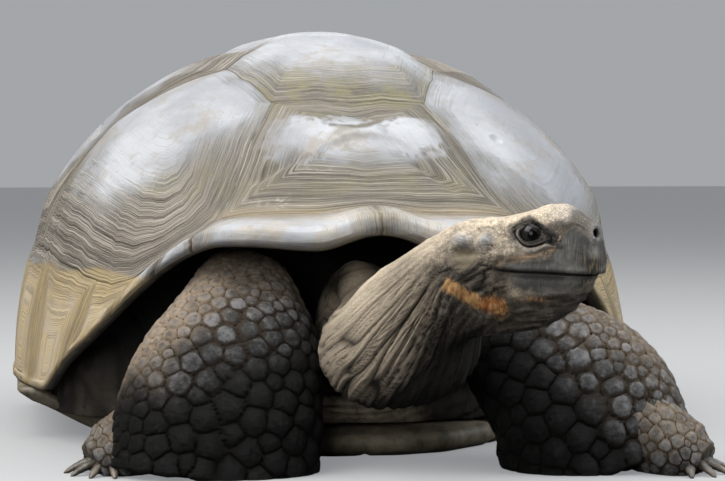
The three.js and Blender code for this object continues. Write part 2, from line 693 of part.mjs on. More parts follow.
const tailStations = [
  [-400, 0, 98, 40, 30], [-470, 4, 84, 34, 26], [-530, 16, 62, 25, 20], [-566, 40, 44, 15, 13],
  [-580, 62, 36, 8, 7],
];

function forelegSolid(stations, foot, grow) {
  const limb = limbOf(stations, vec(1, 0, 0.25), 2.4);
  const end = limbOf(foot.path, vec(0.5, 0, 1), 2.3);
  const root = plainLimb(limb, 10, 4, 0, 0.45, grow);
  return scaledLimb(limb, 13, 7, 0.26, 1, 4.5, grow)
    .add(scaledLimb(end, 7, 2, 0, 1, 3.5, grow)).add(root);
}

const footClaws = (centre, heading, count, spread, radius, length, width) => {
  const list = [];
  for (let k = 0; k < count; k += 1) {
    const angle = THREE.MathUtils.degToRad(spread * (k / (count - 1) - 0.5));
    const way = heading.clone().applyAxisAngle(vec(0, 0, 1), angle).normalize();
    const root = centre.clone().addScaledVector(way, radius);
    list.push({ root, way: way.clone().add(vec(0, 0, -0.12)), length, width });
  }
  return list;
};
const makeClaw = (c, grow) => clawSolid(c.root, c.way, c.length, c.width, c.width * 0.8, grow);

// Assembly: each later node is cut by the grown shape of the nodes that it meets.
const shell = carapaceSolid();
const torsoGrown = torsoSolid(shell.thetas, gap);
const plastron = plastronSolid(0);
const plastronGrown = plastronSolid(gap);
const torso = largest(torsoSolid(shell.thetas, 0).subtract(plastronGrown));
const eyes = [1, -1].map((side) => ballSolid(eyeCentre(side), eyeRadius));
const eyesGrown = [1, -1].map((side) => ballSolid(eyeCentre(side), eyeRadius + gap));
let head = headSolid(0);
const headGrown = headSolid(gap);
[1, -1].forEach((side) => {
  head = head.add(lidSolid(side, true)).add(lidSolid(side, false));
  const ear = ballSolid(headPoint(-149, side * 92, -38), 36, 14, 10);
  head = head.subtract(ear);
  const at = headPoint(2, side * 9, 0);
  const turn = new THREE.Matrix4().makeBasis(leftWay, vec(0, 0, 1), noseWay.clone()).setPosition(at);
  const tube = new THREE.CylinderGeometry(3.2, 2.4, 26, 8).rotateX(Math.PI / 2).applyMatrix4(turn);
  head = head.subtract(solidFrom(tube));
});
head = head.subtract(mouthSlit());
eyesGrown.forEach((eye) => { head = head.subtract(eye); });
head = largest(head);

const forelegs = {
  right: forelegSolid(rightForeleg, forefeet.right, 0),
  left: forelegSolid(leftForeleg, forefeet.left, 0),
};
const forelegsGrown = forelegSolid(rightForeleg, forefeet.right, gap + 0.1)
  .add(forelegSolid(leftForeleg, forefeet.left, gap + 0.1));
const hindlegs = {};
const claws = [];
[['right', -1], ['left', 1]].forEach(([name, side]) => {
  const foot = forefeet[name];
  const tip = foot.path[2];
  const fore = footClaws(vec(tip[0], tip[1], 15), foot.heading, 5, 120, 27, 38, 15);
  fore.forEach((c, k) => {
    forelegs[name] = forelegs[name].subtract(makeClaw(c, gap + 0.15));
    claws.push([`claw_foreleg_${name}_${k + 1}`, makeClaw(c, 0)]);
  });
  forelegs[name] = largest(floorCut(forelegs[name].subtract(torsoGrown).subtract(plastronGrown)));
  hindlegs[name] = scaledLimb(limbOf(hindStations(side), vec(1, side * 0.3, 0.2), 2.2), 9, 4, 0.36, 1, 3.5, 0)
    .add(plainLimb(limbOf(hindStations(side), vec(1, side * 0.3, 0.2), 2.2), 9, 3, 0, 0.55, 0));
  const hind = footClaws(vec(-380, side * 288, 15), vec(-0.35, side * 1, 0), 4, 104, 63, 38, 18);
  hind.forEach((c, k) => {
    hindlegs[name] = hindlegs[name].subtract(makeClaw(c, gap + 0.15));
    claws.push([`claw_hindleg_${name}_${k + 1}`, makeClaw(c, 0)]);
  });
  hindlegs[name] = largest(floorCut(hindlegs[name].subtract(torsoGrown).subtract(plastronGrown)));
});
let neck = neckSolid(0).subtract(torsoGrown).subtract(plastronGrown).subtract(headGrown)
  .subtract(forelegsGrown);
neck = largest(neck);
const tailPlace = limbOf(tailStations, vec(0, 0, 1), 2);
let tail = surfaceSolid(12, 10, (u, v) => {
  const end = Math.sin(Math.min(v * 8, (1 - v) * 8, 1) * Math.PI / 2);
  if (end < 1e-6) return tailPlace(0, v).add(tailPlace(0.5, v)).multiplyScalar(0.5);
  return tailPlace(u, v, 0, end);
});
tail = largest(tail.subtract(torsoGrown).subtract(plastronGrown));

const tones = {
  shell: { color: 0x6f6a60, roughness: 0.62 },
  belly: { color: 0x5b5548, roughness: 0.75 },
  skin: { color: 0x6a6156, roughness: 0.85 },
  scale: { color: 0x57534d, roughness: 0.7 },
  claw: { color: 0x2c2824, roughness: 0.45 },
  eye: { color: 0x0e0b09, roughness: 0.08 },
};
const group = new THREE.Group();
function addNode(name, solid, tone) {
  const built = solid.getMesh();
  const geometry = new THREE.BufferGeometry();
  geometry.setAttribute('position', new THREE.BufferAttribute(new Float32Array(built.vertProperties), 3));
  geometry.setIndex(Array.from(built.triVerts));
  geometry.computeVertexNormals();
  const material = new THREE.MeshStandardMaterial({ ...tones[tone], metalness: 0 });
  const mesh = new THREE.Mesh(geometry, material);
  mesh.name = name;
  group.add(mesh);
}
addNode('carapace', shell.solid, 'shell');
addNode('plastron', plastron, 'belly');
addNode('torso', torso, 'skin');
addNode('neck', neck, 'skin');
addNode('head', head, 'skin');
addNode('eye_left', eyes[0], 'eye');
addNode('eye_right', eyes[1], 'eye');
addNode('foreleg_right', forelegs.right, 'scale');
addNode('foreleg_left', forelegs.left, 'scale');
addNode('hindleg_right', hindlegs.right, 'scale');
addNode('hindleg_left', hindlegs.left, 'scale');
addNode('tail', tail, 'skin');
claws.forEach(([name, solid]) => addNode(name, solid, 'claw'));

export default group;
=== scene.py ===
import bpy
import numpy as np
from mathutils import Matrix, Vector


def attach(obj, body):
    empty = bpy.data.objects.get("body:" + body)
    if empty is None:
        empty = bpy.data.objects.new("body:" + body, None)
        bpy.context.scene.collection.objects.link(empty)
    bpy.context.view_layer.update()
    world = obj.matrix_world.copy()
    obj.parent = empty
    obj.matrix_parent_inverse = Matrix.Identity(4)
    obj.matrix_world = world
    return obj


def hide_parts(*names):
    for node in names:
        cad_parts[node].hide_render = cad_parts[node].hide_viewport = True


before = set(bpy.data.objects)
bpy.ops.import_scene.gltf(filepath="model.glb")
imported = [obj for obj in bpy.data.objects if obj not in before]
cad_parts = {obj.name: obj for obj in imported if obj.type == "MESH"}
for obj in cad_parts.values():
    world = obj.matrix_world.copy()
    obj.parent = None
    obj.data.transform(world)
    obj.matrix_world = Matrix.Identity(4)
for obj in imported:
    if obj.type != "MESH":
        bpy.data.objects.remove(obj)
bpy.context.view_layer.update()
print("frame loaded")


# A smooth curve through (x, y) pairs: a cubic between neighbours, flat at the ends and at turns.
def through(pairs):
    xs, ys = np.array(pairs, float).T
    h = np.diff(xs)
    d = np.diff(ys) / h
    slope = np.zeros(len(xs))
    mean = (d[:-1] * h[1:] + d[1:] * h[:-1]) / (h[:-1] + h[1:])
    slope[1:-1] = np.where(d[:-1] * d[1:] <= 0, 0, mean)

    def curve(x):
        c = np.clip(x, xs[0], xs[-1])
        i = np.clip(np.searchsorted(xs, c, side="right") - 1, 0, len(xs) - 2)
        s = (c - xs[i]) / h[i]
        a = 2 * s**3 - 3 * s**2 + 1
        b = s**3 - 2 * s**2 + s
        return a * ys[i] + b * h[i] * slope[i] + (1 - a) * ys[i + 1] + (s**3 - s**2) * h[i] * slope[i + 1]

    return curve


# 0 below low, 1 above high, an S between them.
def fade(v, low, high):
    t = np.clip((v - low) / (high - low), 0, 1)
    return t * t * (3 - 2 * t)


def fall(v, low, high):  # 1 below low, 0 above high
    return 1 - fade(v, low, high)


def bell(v, middle, width):  # a bump of height 1 at the middle
    return np.exp(-(((v - middle) / width) ** 2))


# Bumps over two directions, added up: each has a height, then a middle and a width both ways.
def bumps(u, v, table):
    return sum(height * bell(u, u0, wide) * bell(v, v0, tall) for height, u0, wide, v0, tall in table)


def signedPower(v, p):  # the power of the size, with the sign kept
    return np.sign(v) * np.abs(v) ** p


# Value noise, -1 to 1: random numbers on a lattice, blended by an S curve in each direction.
def noise(points, seed=0):
    cell = np.floor(points).astype(np.int64)
    t = points - cell
    t = t * t * (3 - 2 * t)
    total = np.zeros(points.shape[:-1])
    for corner in range(8):
        o = np.array([corner & 1, (corner >> 1) & 1, (corner >> 2) & 1])
        k = cell + o
        n = k[..., 0] * 374761393 + k[..., 1] * 668265263 + k[..., 2] * 2147483647 + seed * 974711
        n = n & 0xFFFFFFFF
        n = ((n ^ (n >> 13)) * 1274126177) & 0xFFFFFFFF
        n = (n ^ (n >> 16)) & 0xFFFF
        w = np.prod(np.where(o, t, 1 - t), axis=-1)
        total += w * (n / 32767.5 - 1)
    return total


def layered(points, seed=0, layers=3):  # noise at doubling scales and halving heights
    return sum(noise(points * 2.03**i, seed + i) / 2**i for i in range(layers)) / (2 - 0.5 ** (layers - 1))


def stacked(*values):  # values to one array of points
    return np.stack(np.broadcast_arrays(*values), -1).astype(float)


# The quads and end fans of a grid of points, rows by columns, closed around, and its fields.
def gridParts(points, fields):
    rows, cols = points.shape[:2]
    r, c = np.meshgrid(np.arange(rows - 1), np.arange(cols), indexing="ij")
    n = (c + 1) % cols
    quads = np.stack([r * cols + c, r * cols + n, (r + 1) * cols + n, (r + 1) * cols + c], -1).reshape(-1, 4)
    ring = np.arange(cols)
    after = (ring + 1) % cols
    size = rows * cols
    first = np.stack([after, ring, np.full(cols, size)], -1)
    last = np.stack([size - cols + ring, size - cols + after, np.full(cols, size + 1)], -1)
    verts = np.concatenate([points.reshape(-1, 3), points[0].mean(0)[None], points[-1].mean(0)[None]])
    flat = {k: np.concatenate([v.reshape(-1), [v[0].mean()], [v[-1].mean()]]) for k, v in fields.items()}
    return verts, quads, np.concatenate([first, last]), flat


# Corner lists to a mesh, turned outward by the sign of its volume, with point fields.
def meshFrom(name, verts, quads, tris, fields):
    volume = 0.0
    for corners in (tris, quads[:, [0, 1, 2]], quads[:, [0, 2, 3]]):
        a, b, c = (verts[corners[:, i]] for i in range(3))
        volume += np.einsum("ij,ij->", a, np.cross(b, c))
    if volume < 0:
        quads, tris = quads[:, ::-1], tris[:, ::-1]
    mesh = bpy.data.meshes.new(name)
    mesh.vertices.add(len(verts))
    mesh.vertices.foreach_set("co", np.ascontiguousarray(verts, np.float32).ravel())
    corners = np.concatenate([quads.ravel(), tris.ravel()]).astype(np.int32)
    starts = np.concatenate([np.arange(len(quads)) * 4, len(quads) * 4 + np.arange(len(tris)) * 3])
    mesh.loops.add(len(corners))
    mesh.loops.foreach_set("vertex_index", corners)
    mesh.polygons.add(len(starts))
    mesh.polygons.foreach_set("loop_start", starts.astype(np.int32))
    mesh.polygons.foreach_set("use_smooth", np.ones(len(starts), bool))
    mesh.update(calc_edges=True)
    for key, values in fields.items():
        layer = mesh.attributes.new(key, "FLOAT", "POINT")
        layer.data.foreach_set("value", np.ascontiguousarray(values, np.float32))
    obj = bpy.data.objects.new(name, mesh)
    bpy.context.scene.collection.objects.link(obj)
    return obj


def joinParts(name, parts):  # parts: (verts, quads, tris, fields), one after another
    verts, quads, tris, fields, count = [], [], [], {}, 0
    for v, q, t, f in parts:
        verts.append(v)
        quads.append(q + count)
        tris.append(t + count)
        for key, values in f.items():
            fields.setdefault(key, []).append(values)
        count += len(v)
    joined = {k: np.concatenate(v) for k, v in fields.items()}
    return meshFrom(name, np.concatenate(verts), np.concatenate(quads), np.concatenate(tris), joined)


def gridMesh(name, points, fields=None):  # millimetres in, one closed mesh out
    return joinParts(name, [gridParts(points / 1000, fields or {})])


# The unit outward direction of each grid point, from its neighbours along and around.
def gridNormals(points):
    around = np.roll(points, -1, 1) - np.roll(points, 1, 1)
    n = np.cross(around, np.gradient(points, axis=0))
    n = n / np.maximum(np.linalg.norm(n, axis=-1, keepdims=True), 1e-12)
    outward = points - points.mean(1, keepdims=True)
    return n * np.sign(np.sum(outward * n) or 1)


# A curve through stations: one cubic per span, its knots spaced by a power of the distance.
def pathThrough(stations, power=0.25):
    p = np.array(stations, float)
    p = np.concatenate([[2 * p[0] - p[1]], p, [2 * p[-1] - p[-2]]])

    def step(q, r):
        return np.maximum(np.sum((q - r) ** 2, -1, keepdims=True) ** power, 1e-6) if power else 1.0

    def curve(t):
        span = np.clip(t, 0, 1) * (len(p) - 3)
        i = np.clip(np.floor(span).astype(int), 0, len(p) - 4)
        w = (span - i)[..., None]
        a, b, c, d = p[i], p[i + 1], p[i + 2], p[i + 3]
        k0, k1, k2 = step(a, b), step(b, c), step(c, d)
        m1 = ((b - a) / k0 - (c - a) / (k0 + k1) + (c - b) / k1) * k1
        m2 = ((c - b) / k1 - (d - b) / (k1 + k2) + (d - c) / k2) * k1
        return b + m1 * w + (-3 * b + 3 * c - 2 * m1 - m2) * w**2 + (2 * b - 2 * c + m1 + m2) * w**3

    return curve


# A limb: rounded sections across a path, their broad side turned to facing. u runs once around.
def limbThrough(stations, facing, fullness):
    path = pathThrough([s[:3] for s in stations])
    sizes = pathThrough([s[3:] for s in stations], 0)
    toward = np.array(facing, float)

    def place(u, t):
        centre = path(t)
        tangent = path(t + 1e-4) - path(t - 1e-4)
        tangent /= np.linalg.norm(tangent, axis=-1, keepdims=True)
        face = toward - tangent * (tangent @ toward)[..., None]
        face /= np.linalg.norm(face, axis=-1, keepdims=True)
        size = sizes(t)
        c = signedPower(np.cos(2 * np.pi * u), 2 / fullness)[..., None]
        s = signedPower(np.sin(2 * np.pi * u), 2 / fullness)[..., None]
        return centre + np.cross(tangent, face) * size[..., :1] * c + face * size[..., 1:2] * s

    return place


def sweep(place, start, end, rows, cols):  # a limb as a grid
    t = np.linspace(start, end, rows)[:, None]
    u = np.linspace(0, 1, cols, endpoint=False)[None]
    return place(*np.broadcast_arrays(u, t))


# A value in a shader: one output of a node. Sums and products with it make the nodes they need.
class Value:
    def __init__(self, tree, socket):
        self.tree = tree
        self.socket = socket

    def __add__(self, other):
        return maths(self.tree, "ADD", self, other)

    def __radd__(self, other):
        return maths(self.tree, "ADD", other, self)

    def __sub__(self, other):
        return maths(self.tree, "SUBTRACT", self, other)

    def __rsub__(self, other):
        return maths(self.tree, "SUBTRACT", other, self)

    def __mul__(self, other):
        return maths(self.tree, "MULTIPLY", self, other)


# A shader node and its output. Inputs go by name, or by place as i0, i1 and so on.
def node(tree, kind, settings=None, out=0, **inputs):
    n = tree.nodes.new("ShaderNode" + kind)
    for key, value in (settings or {}).items():
        setattr(n, key, value)
    for key, value in inputs.items():
        place = n.inputs[int(key[1:])] if key[0] == "i" and key[1:].isdigit() else n.inputs[key]
        if isinstance(value, Value):
            tree.links.new(value.socket, place)
        else:
            place.default_value = value
    return Value(tree, n.outputs[out])


def maths(tree, operation, a, b):
    return node(tree, "Math", {"operation": operation}, i0=a, i1=b)


def drive(target, name, value):  # a value into an input of the shader or of a group's end
    value.tree.links.new(value.socket, target.inputs[name])


def field(tree, name):  # a point field of the mesh
    return node(tree, "Attribute", {"attribute_name": name}, "Fac")


def objectPlace(tree):
    return node(tree, "TexCoord", None, "Object")


def mixed(factor, a, b):  # colour a where factor is 0, b where it is 1
    pair = [c if isinstance(c, Value) else (*c, 1) for c in (a, b)]
    return node(factor.tree, "Mix", {"data_type": "RGBA"}, 2, i0=factor, i6=pair[0], i7=pair[1])


def spread(value, low, high, toLow=0.0, toHigh=1.0):  # an S from low to high
    return node(value.tree, "MapRange", {"interpolation_type": "SMOOTHSTEP"},
                i0=value, i1=low, i2=high, i3=toLow, i4=toHigh)


def noiseOf(vector, scale, detail=3.0, rough=0.55, w=None):  # with w, noise in four dimensions
    kind = {"noise_dimensions": "3D" if w is None else "4D"}
    inputs = {"Vector": vector, "Scale": scale, "Detail": detail, "Roughness": rough}
    return node(vector.tree, "TexNoise", kind, "Fac", **inputs, **({} if w is None else {"W": w}))


def newMaterial(name, roughness, specular=0.35):
    material = bpy.data.materials.new(name)
    material.use_nodes = True
    tree = material.node_tree
    shader = tree.nodes["Principled BSDF"]
    shader.inputs["Roughness"].default_value = roughness
    shader.inputs["Specular IOR Level"].default_value = specular
    return material, tree, shader


def bumpInto(shader, height, distance, strength=1.0):
    bump = node(height.tree, "Bump", None, Height=height, Distance=distance, Strength=strength)
    drive(shader, "Normal", bump)


def groupWith(name, inputs, outputs):  # an empty group, its inputs as values and its end
    tree = bpy.data.node_groups.new(name, "ShaderNodeTree")
    for label, value in inputs.items():
        tree.interface.new_socket(label, in_out="INPUT", socket_type="NodeSocketFloat").default_value = value
    for label in outputs:
        tree.interface.new_socket(label, in_out="OUTPUT", socket_type="NodeSocketFloat")
    sockets = tree.nodes.new("NodeGroupInput").outputs
    return tree, [Value(tree, sockets[label]) for label in inputs], tree.nodes.new("NodeGroupOutput")


def grouped(tree, group, **values):  # a group in use: its outputs as values
    n = tree.nodes.new("ShaderNodeGroup")
    n.node_tree = group
    for key, value in values.items():
        n.inputs[key].default_value = value
    return [Value(tree, socket) for socket in n.outputs]


# Dry earth in blotches: a cloud noise between two levels. Puts out a mask.
def dustGroup():
    inputs = {"Scale": 14.0, "Low": 0.5, "High": 0.7}
    tree, (scale, low, high), end = groupWith("dryDust", inputs, ["Mask"])
    cloud = noiseOf(objectPlace(tree), scale, 6.0, 0.62)
    drive(end, "Mask", node(tree, "MapRange", None, i0=cloud, i1=low, i2=high))
    return tree


# Small pebbled scales: the distance to the edge of warped cells. Puts out a height and a mask of painted
# shade in the grooves.
def pebbleGroup():
    tree, (scale,), end = groupWith("skinPebble", {"Scale": 160.0}, ["Height", "GrooveShade"])
    where = objectPlace(tree)
    warp = node(tree, "TexNoise", None, "Color", Vector=where, Scale=60.0, Detail=3.0)
    moved = node(tree, "VectorMath", {"operation": "MULTIPLY_ADD"}, i0=warp, i1=(0.02, 0.02, 0.02), i2=where)
    cells = node(tree, "TexVoronoi", {"feature": "DISTANCE_TO_EDGE"}, "Distance", Vector=moved, Scale=scale)
    near = spread(cells, 0.0, 0.16)
    drive(end, "Height", near + noiseOf(where, 420.0, 3.0) * 0.5)
    drive(end, "GrooveShade", 1.0 - near)
    return tree


dryDust = dustGroup()
skinPebble = pebbleGroup()


def finish(obj, material, slotName, *nodes):  # its material, its body and the nodes it dresses; slotName is not used
    obj.data.materials.append(material)
    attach(obj, "root")
    if nodes:
        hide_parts(*nodes)
    return obj


# Plain horn: two tones by a cloud noise, with dry earth over it.
def plainHorn(name, dark, light, roughness, scale=90.0, earthy=0.5):
    material, tree, shader = newMaterial(name, roughness, 0.4)
    grain = noiseOf(objectPlace(tree), scale, 6.0, 0.68)
    colour = mixed(spread(grain, 0.36, 0.66), dark, light)
    dirt = grouped(tree, dryDust, Scale=40.0, Low=0.46, High=0.72)[0]
    drive(shader, "Base Color", mixed(dirt * earthy, colour, (0.20, 0.16, 0.11)))
    bumpInto(shader, grain, 0.002, 0.6)
    return material


underHorn = plainHorn("underHorn", (0.020, 0.018, 0.014), (0.065, 0.058, 0.046), 0.75, 30.0, 0.25)
bellyHorn = plainHorn("bellyHorn", (0.050, 0.043, 0.030), (0.150, 0.132, 0.095), 0.6, 24.0, 0.35)
clawHorn = plainHorn("clawHorn", (0.018, 0.015, 0.012), (0.075, 0.062, 0.048), 0.42)


# Shell horn. The old middle of a plate is worn smooth and grey. Round it lie brown rings, a noise
# that runs fast across them and slowly along them. Seams are thin and partly pale. Tan earth lies low.
shellTone = {
    "smooth": (0.192, 0.198, 0.212), "smoothLight": (0.274, 0.283, 0.298),
    "smoothWarm": (0.185, 0.165, 0.138), "ring": (0.128, 0.113, 0.093), "ringGrey": (0.205, 0.198, 0.185),
    "ringDark": (0.040, 0.035, 0.030), "ringLight": (0.340, 0.315, 0.275), "moss": (0.170, 0.160, 0.085),
    "tan": (0.340, 0.265, 0.143), "tanDark": (0.155, 0.118, 0.066), "seam": (0.440, 0.415, 0.350),
    "seamDark": (0.050, 0.042, 0.034),
}
shellLines = (("broad", 0.46, 0.36, 0.45, "ringDark"), ("streak", 0.49, 0.42, 0.9, "ringDark"),
              ("streak", 0.53, 0.60, 0.8, "ringLight"), ("fine", 0.47, 0.41, 0.9, "ringDark"),
              ("fine", 0.54, 0.62, 0.6, "ringLight"))


def shellMaterial():
    t = shellTone
    material, tree, shader = newMaterial("hornPlate", 0.5, 0.14)
    where = objectPlace(tree)
    seam, rings, worn, tan, mossy, pale, wild = (
        field(tree, k) for k in ("seam", "rings", "worn", "earth", "moss", "pale", "plate"))
    across = rings * 1.7 + wild * 37.0
    streak = noiseOf(where, 5.0, 2.0, 0.60, across)
    fine = noiseOf(where, 12.0, 2.0, 0.65, across * 2.6)
    broad = noiseOf(where, 3.0, 3.0, 0.6, across * 0.2)
    edge = worn + (noiseOf(where, 9.0, 8.0, 0.70) - 0.5) * 1.5
    ringed = spread(edge + (streak - 0.5) * 0.9, 0.78, 1.42)
    cloud = noiseOf(where, 5.5, 6.0, 0.62)
    smooth = mixed(spread(cloud, 0.36, 0.64), t["smooth"], t["smoothLight"])
    smooth = mixed(spread(noiseOf(where, 13.0, 9.0, 0.74), 0.50, 0.64) * 0.7, smooth, t["smoothWarm"])
    lines = mixed(spread(worn + broad, 1.4, 2.2), t["ringGrey"], t["ring"])
    noises = {"broad": broad, "streak": streak, "fine": fine}
    for key, low, high, amount, tone in shellLines:
        lines = mixed(spread(noises[key], low, high) * amount, lines, t[tone])
    green = mossy * spread(noiseOf(where, 26.0, 5.0, 0.7), 0.40, 0.62)
    lines = mixed(green * 0.7, lines, t["moss"])
    colour = mixed(ringed, smooth, lines)
    faint = spread(fine, 0.48, 0.34) * 0.28 + spread(streak, 0.44, 0.34) * 0.2
    patchy = spread(noiseOf(where, 22.0, 3.0), 0.44, 0.56)
    for mask, tone in ((faint, "ringDark"), (seam * 0.4, "seamDark"), (pale * patchy * 0.9, "seam")):
        colour = mixed(mask, colour, t[tone])
    earth = grouped(tree, dryDust, Scale=34.0, Low=0.30, High=0.66)[0]
    soil = mixed(spread(streak, 0.58, 0.38), t["tan"], t["tanDark"])
    colour = mixed(tan * (0.55 + earth * 0.4), colour, soil)
    specks = spread(noiseOf(where, 190.0, 3.0, 0.6), 0.66, 0.74)
    drive(shader, "Base Color", mixed(specks * 0.55, colour, t["ringDark"]))
    drive(shader, "Roughness", 0.52 + ringed * 0.12 + tan * 0.25 + (cloud - 0.5) * 0.25)
    height = (streak + fine * 0.6) * (0.14 + ringed * 0.86) + noiseOf(where, 300.0, 3.0, 0.7) * 0.10
    bumpInto(shader, height, 0.0024, 0.85)
    return material


hornPlate = shellMaterial()

# Millimetres. rho runs from the apex, 0, over the dome to the rim's upper edge, 1, and round the
# lip to 1.2 underneath. theta is the direction from the front. seamLift is where a seam lies.
shell = {
    "apex": (-25.0, 0.0, 590.0), "front": 606.0, "rear": 582.0, "halfWidth": 469.0, "squareness": 0.93,
    "wall": 16.0, "seamGap": 0.25, "plateDepth": 11.0, "baseDepth": 9.0, "seamLift": -1.5, "boss": 12.0,
    "bossReach": 95.0, "ringPitch": 9.0, "ringHeight": 1.0, "wornShare": 0.52, "scar": (355.0, 203.0, 426.0),
}
apex = np.array(shell["apex"])
baseHeight = through([(0, 300), (30, 276), (60, 170), (90, 92), (130, 96), (180, 120)])
rimHeight = through([(0, 304), (9, 284), (20, 289), (27, 284), (33, 262), (40, 222), (48, 172), (58, 118),
                     (66, 74), (116, 74), (128, 92), (145, 124), (165, 130), (180, 112)])
sideBulge = through([(0, 0.9), (25, 0.93), (50, 0.98), (90, 1.1), (130, 0.93), (180, 0.9)])
topBulge = through([(0, 2.3), (25, 2.1), (50, 1.42), (90, 0.94), (130, 1.0), (180, 1.2)])
flange = through([(0, 62), (25, 44), (50, 16), (90, 0), (130, 6), (180, 18)])
lipDepth = through([(0, 32), (25, 26), (45, 16), (90, 14), (180, 16)])
lipRoll = through([(0, 14), (30, 10), (50, 5), (90, 3), (180, 6)])
lipOut = through([(1.0, 0), (1.05, 0.8), (1.09, 1), (1.14, 0.35), (1.2, -1)])
lipFall = through([(1.0, 1), (1.05, 0.78), (1.09, 0.4), (1.14, 0.02), (1.2, 0)])


def rimPoint(theta):  # the rim's outline: a rounded oblong about the apex
    c, s = np.cos(theta), np.sin(theta)
    reach = np.where(c > 0, shell["front"] - apex[0], shell["rear"] + apex[0])
    x = apex[0] + reach * signedPower(c, shell["squareness"])
    return np.stack([x, shell["halfWidth"] * signedPower(s, shell["squareness"])], -1)


# Dome: the rim's outline shrinks as a power of the sine of rho and rises as a power of its cosine.
def domePoint(rho, theta):
    angle = np.abs(np.degrees(np.arctan2(np.sin(theta), np.cos(theta))))
    rim = rimPoint(theta)
    out = rim - apex[:2]
    phi = np.clip(rho, 0, 1) * np.pi / 2
    lip = flange(angle) / np.linalg.norm(out, axis=-1)
    across = (1 - lip) * np.sin(phi) ** sideBulge(angle) + lip * fade(rho, 0.7, 1.08) / fade(1.0, 0.7, 1.08)
    up = np.maximum(np.cos(phi), 0) ** topBulge(angle)
    edge = baseHeight(angle) + lipDepth(angle)
    drop = (rimHeight(angle) - baseHeight(angle)) * fade(rho, 0.66, 1)
    xy = apex[:2] + out * across[..., None]
    z = edge + (apex[2] - edge) * up + drop
    aside = rimPoint(theta + 0.02) - rimPoint(theta - 0.02)
    aside /= np.linalg.norm(aside, axis=-1, keepdims=True)
    outward = np.stack([aside[..., 1], -aside[..., 0]], -1)
    share = lipOut(rho)
    offset = np.where(share > 0, share * lipRoll(angle), share * 13.0)
    beyond = rho > 1
    xy = np.where(beyond[..., None], rim + outward * offset[..., None], xy)
    z = np.where(beyond, rimHeight(angle) + lipDepth(angle) * lipFall(rho), z)
    return np.concatenate([xy, z[..., None]], -1)


# The dome moved along its own normal by lift.
def liftedDome(rho, theta, lift):
    r = np.maximum(rho, 0.03)
    along = domePoint(r + 0.006, theta) - domePoint(r - 0.006, theta)
    aside = domePoint(r, theta + 0.015) - domePoint(r, theta - 0.015)
    normal = np.cross(along, aside)
    normal /= np.maximum(np.linalg.norm(normal, axis=-1, keepdims=True), 1e-9)
    return domePoint(rho, theta) + normal * np.broadcast_to(lift, rho.shape)[..., None]


def onDisc(xy, lift):  # a lifted point of the dome from its place on the disc
    return liftedDome(np.linalg.norm(xy, axis=-1), np.arctan2(xy[..., 1], xy[..., 0]), lift)


# The corners of the plates on the disc: rho, and degrees from the front to the left.
corner = {
    "v0": (0.86, 0), "a": (0.86, 26), "m1": (0.95, 28.5), "m2": (0.978, 33), "m3": (0.93, 41),
    "m4": (0.85, 51.5), "m5": (0.785, 71), "k1": (0.78, 78), "kc": (0.55, 82), "m6": (0.785, 86),
    "m7": (0.79, 97), "k2": (0.79, 106), "m8": (0.79, 112), "m9": (0.78, 126), "k3": (0.77, 134),
    "m10": (0.75, 143), "i": (0.72, 155), "m11": (0.71, 166), "v5": (0.7, 180), "b": (0.416, 22),
    "v1": (0.418, 0), "c": (0.28, 52), "d": (0.165, 61), "v2": (0.11, 0), "e": (0.275, 98), "f": (0.23, 136),
    "v3": (0.16, 180), "g": (0.36, 142), "h": (0.43, 162), "v4": (0.4, 180),
}
rimTurns = [0, 28.5, 36, 45, 60, 73, 87, 102, 116, 131, 147, 165]
corner.update({f"r{i}": (1.15, turn) for i, turn in enumerate(rimTurns)})
onMidline = {"v0", "v1", "v2", "v3", "v4", "v5", "r0"}


def discPoint(name):  # a corner as x and y on the disc, mirrored to the right by a dash in its name
    rho, turn = corner[name.rstrip("'")]
    theta = np.radians(-turn if name.endswith("'") else turn)
    return np.array([rho * np.cos(theta), rho * np.sin(theta)])


def mirrorName(name):  # the same corner on the other side
    return name if name in onMidline else name[:-1] if name.endswith("'") else name + "'"


halves = [["v0", "a", "b", "v1"], ["v1", "b", "c", "d", "v2"], ["v2", "d", "e", "f", "v3"],
          ["v3", "f", "g", "h", "v4"], ["v4", "h", "i", "m11", "v5"]]
vertebrals = [h + [mirrorName(n) for n in reversed(h[1:-1])] for h in halves]
costals = [["a", "m1", "m2", "m3", "m4", "m5", "k1", "kc", "c", "b"],
           ["k1", "m6", "m7", "k2", "e", "d", "c", "kc"],
           ["k2", "m8", "m9", "k3", "g", "f", "e"], ["k3", "m10", "i", "h", "g"]]
marginals = [["v0", "r0", "r1", "m1", "a"], ["m1", "r1", "r2", "m2"], ["m2", "r2", "r3", "m3"],
             ["m3", "r3", "r4", "m4"], ["m4", "r4", "r5", "m5"], ["m5", "r5", "r6", "m6", "k1"],
             ["m6", "r6", "r7", "m7"], ["m7", "r7", "r8", "m8", "k2"], ["m8", "r8", "r9", "m9"],
             ["m9", "r9", "r10", "m10", "k3"], ["m10", "r10", "r11", "m11", "i"]]
supracaudal = ["m11", "r11", "r11'", "m11'", "v5"]

# The worn middles of the plates in front, on the disc: middle, half sizes. The rest take a share.
wornMiddles = {
    "first": ((0.575, 0.0), (0.125, 0.195)), "second": ((0.145, 0.0), (0.155, 0.180)),
    "costalLeft": ((0.40, 0.39), (0.19, 0.20)), "costalRight": ((0.30, -0.36), (0.17, 0.19)),
}


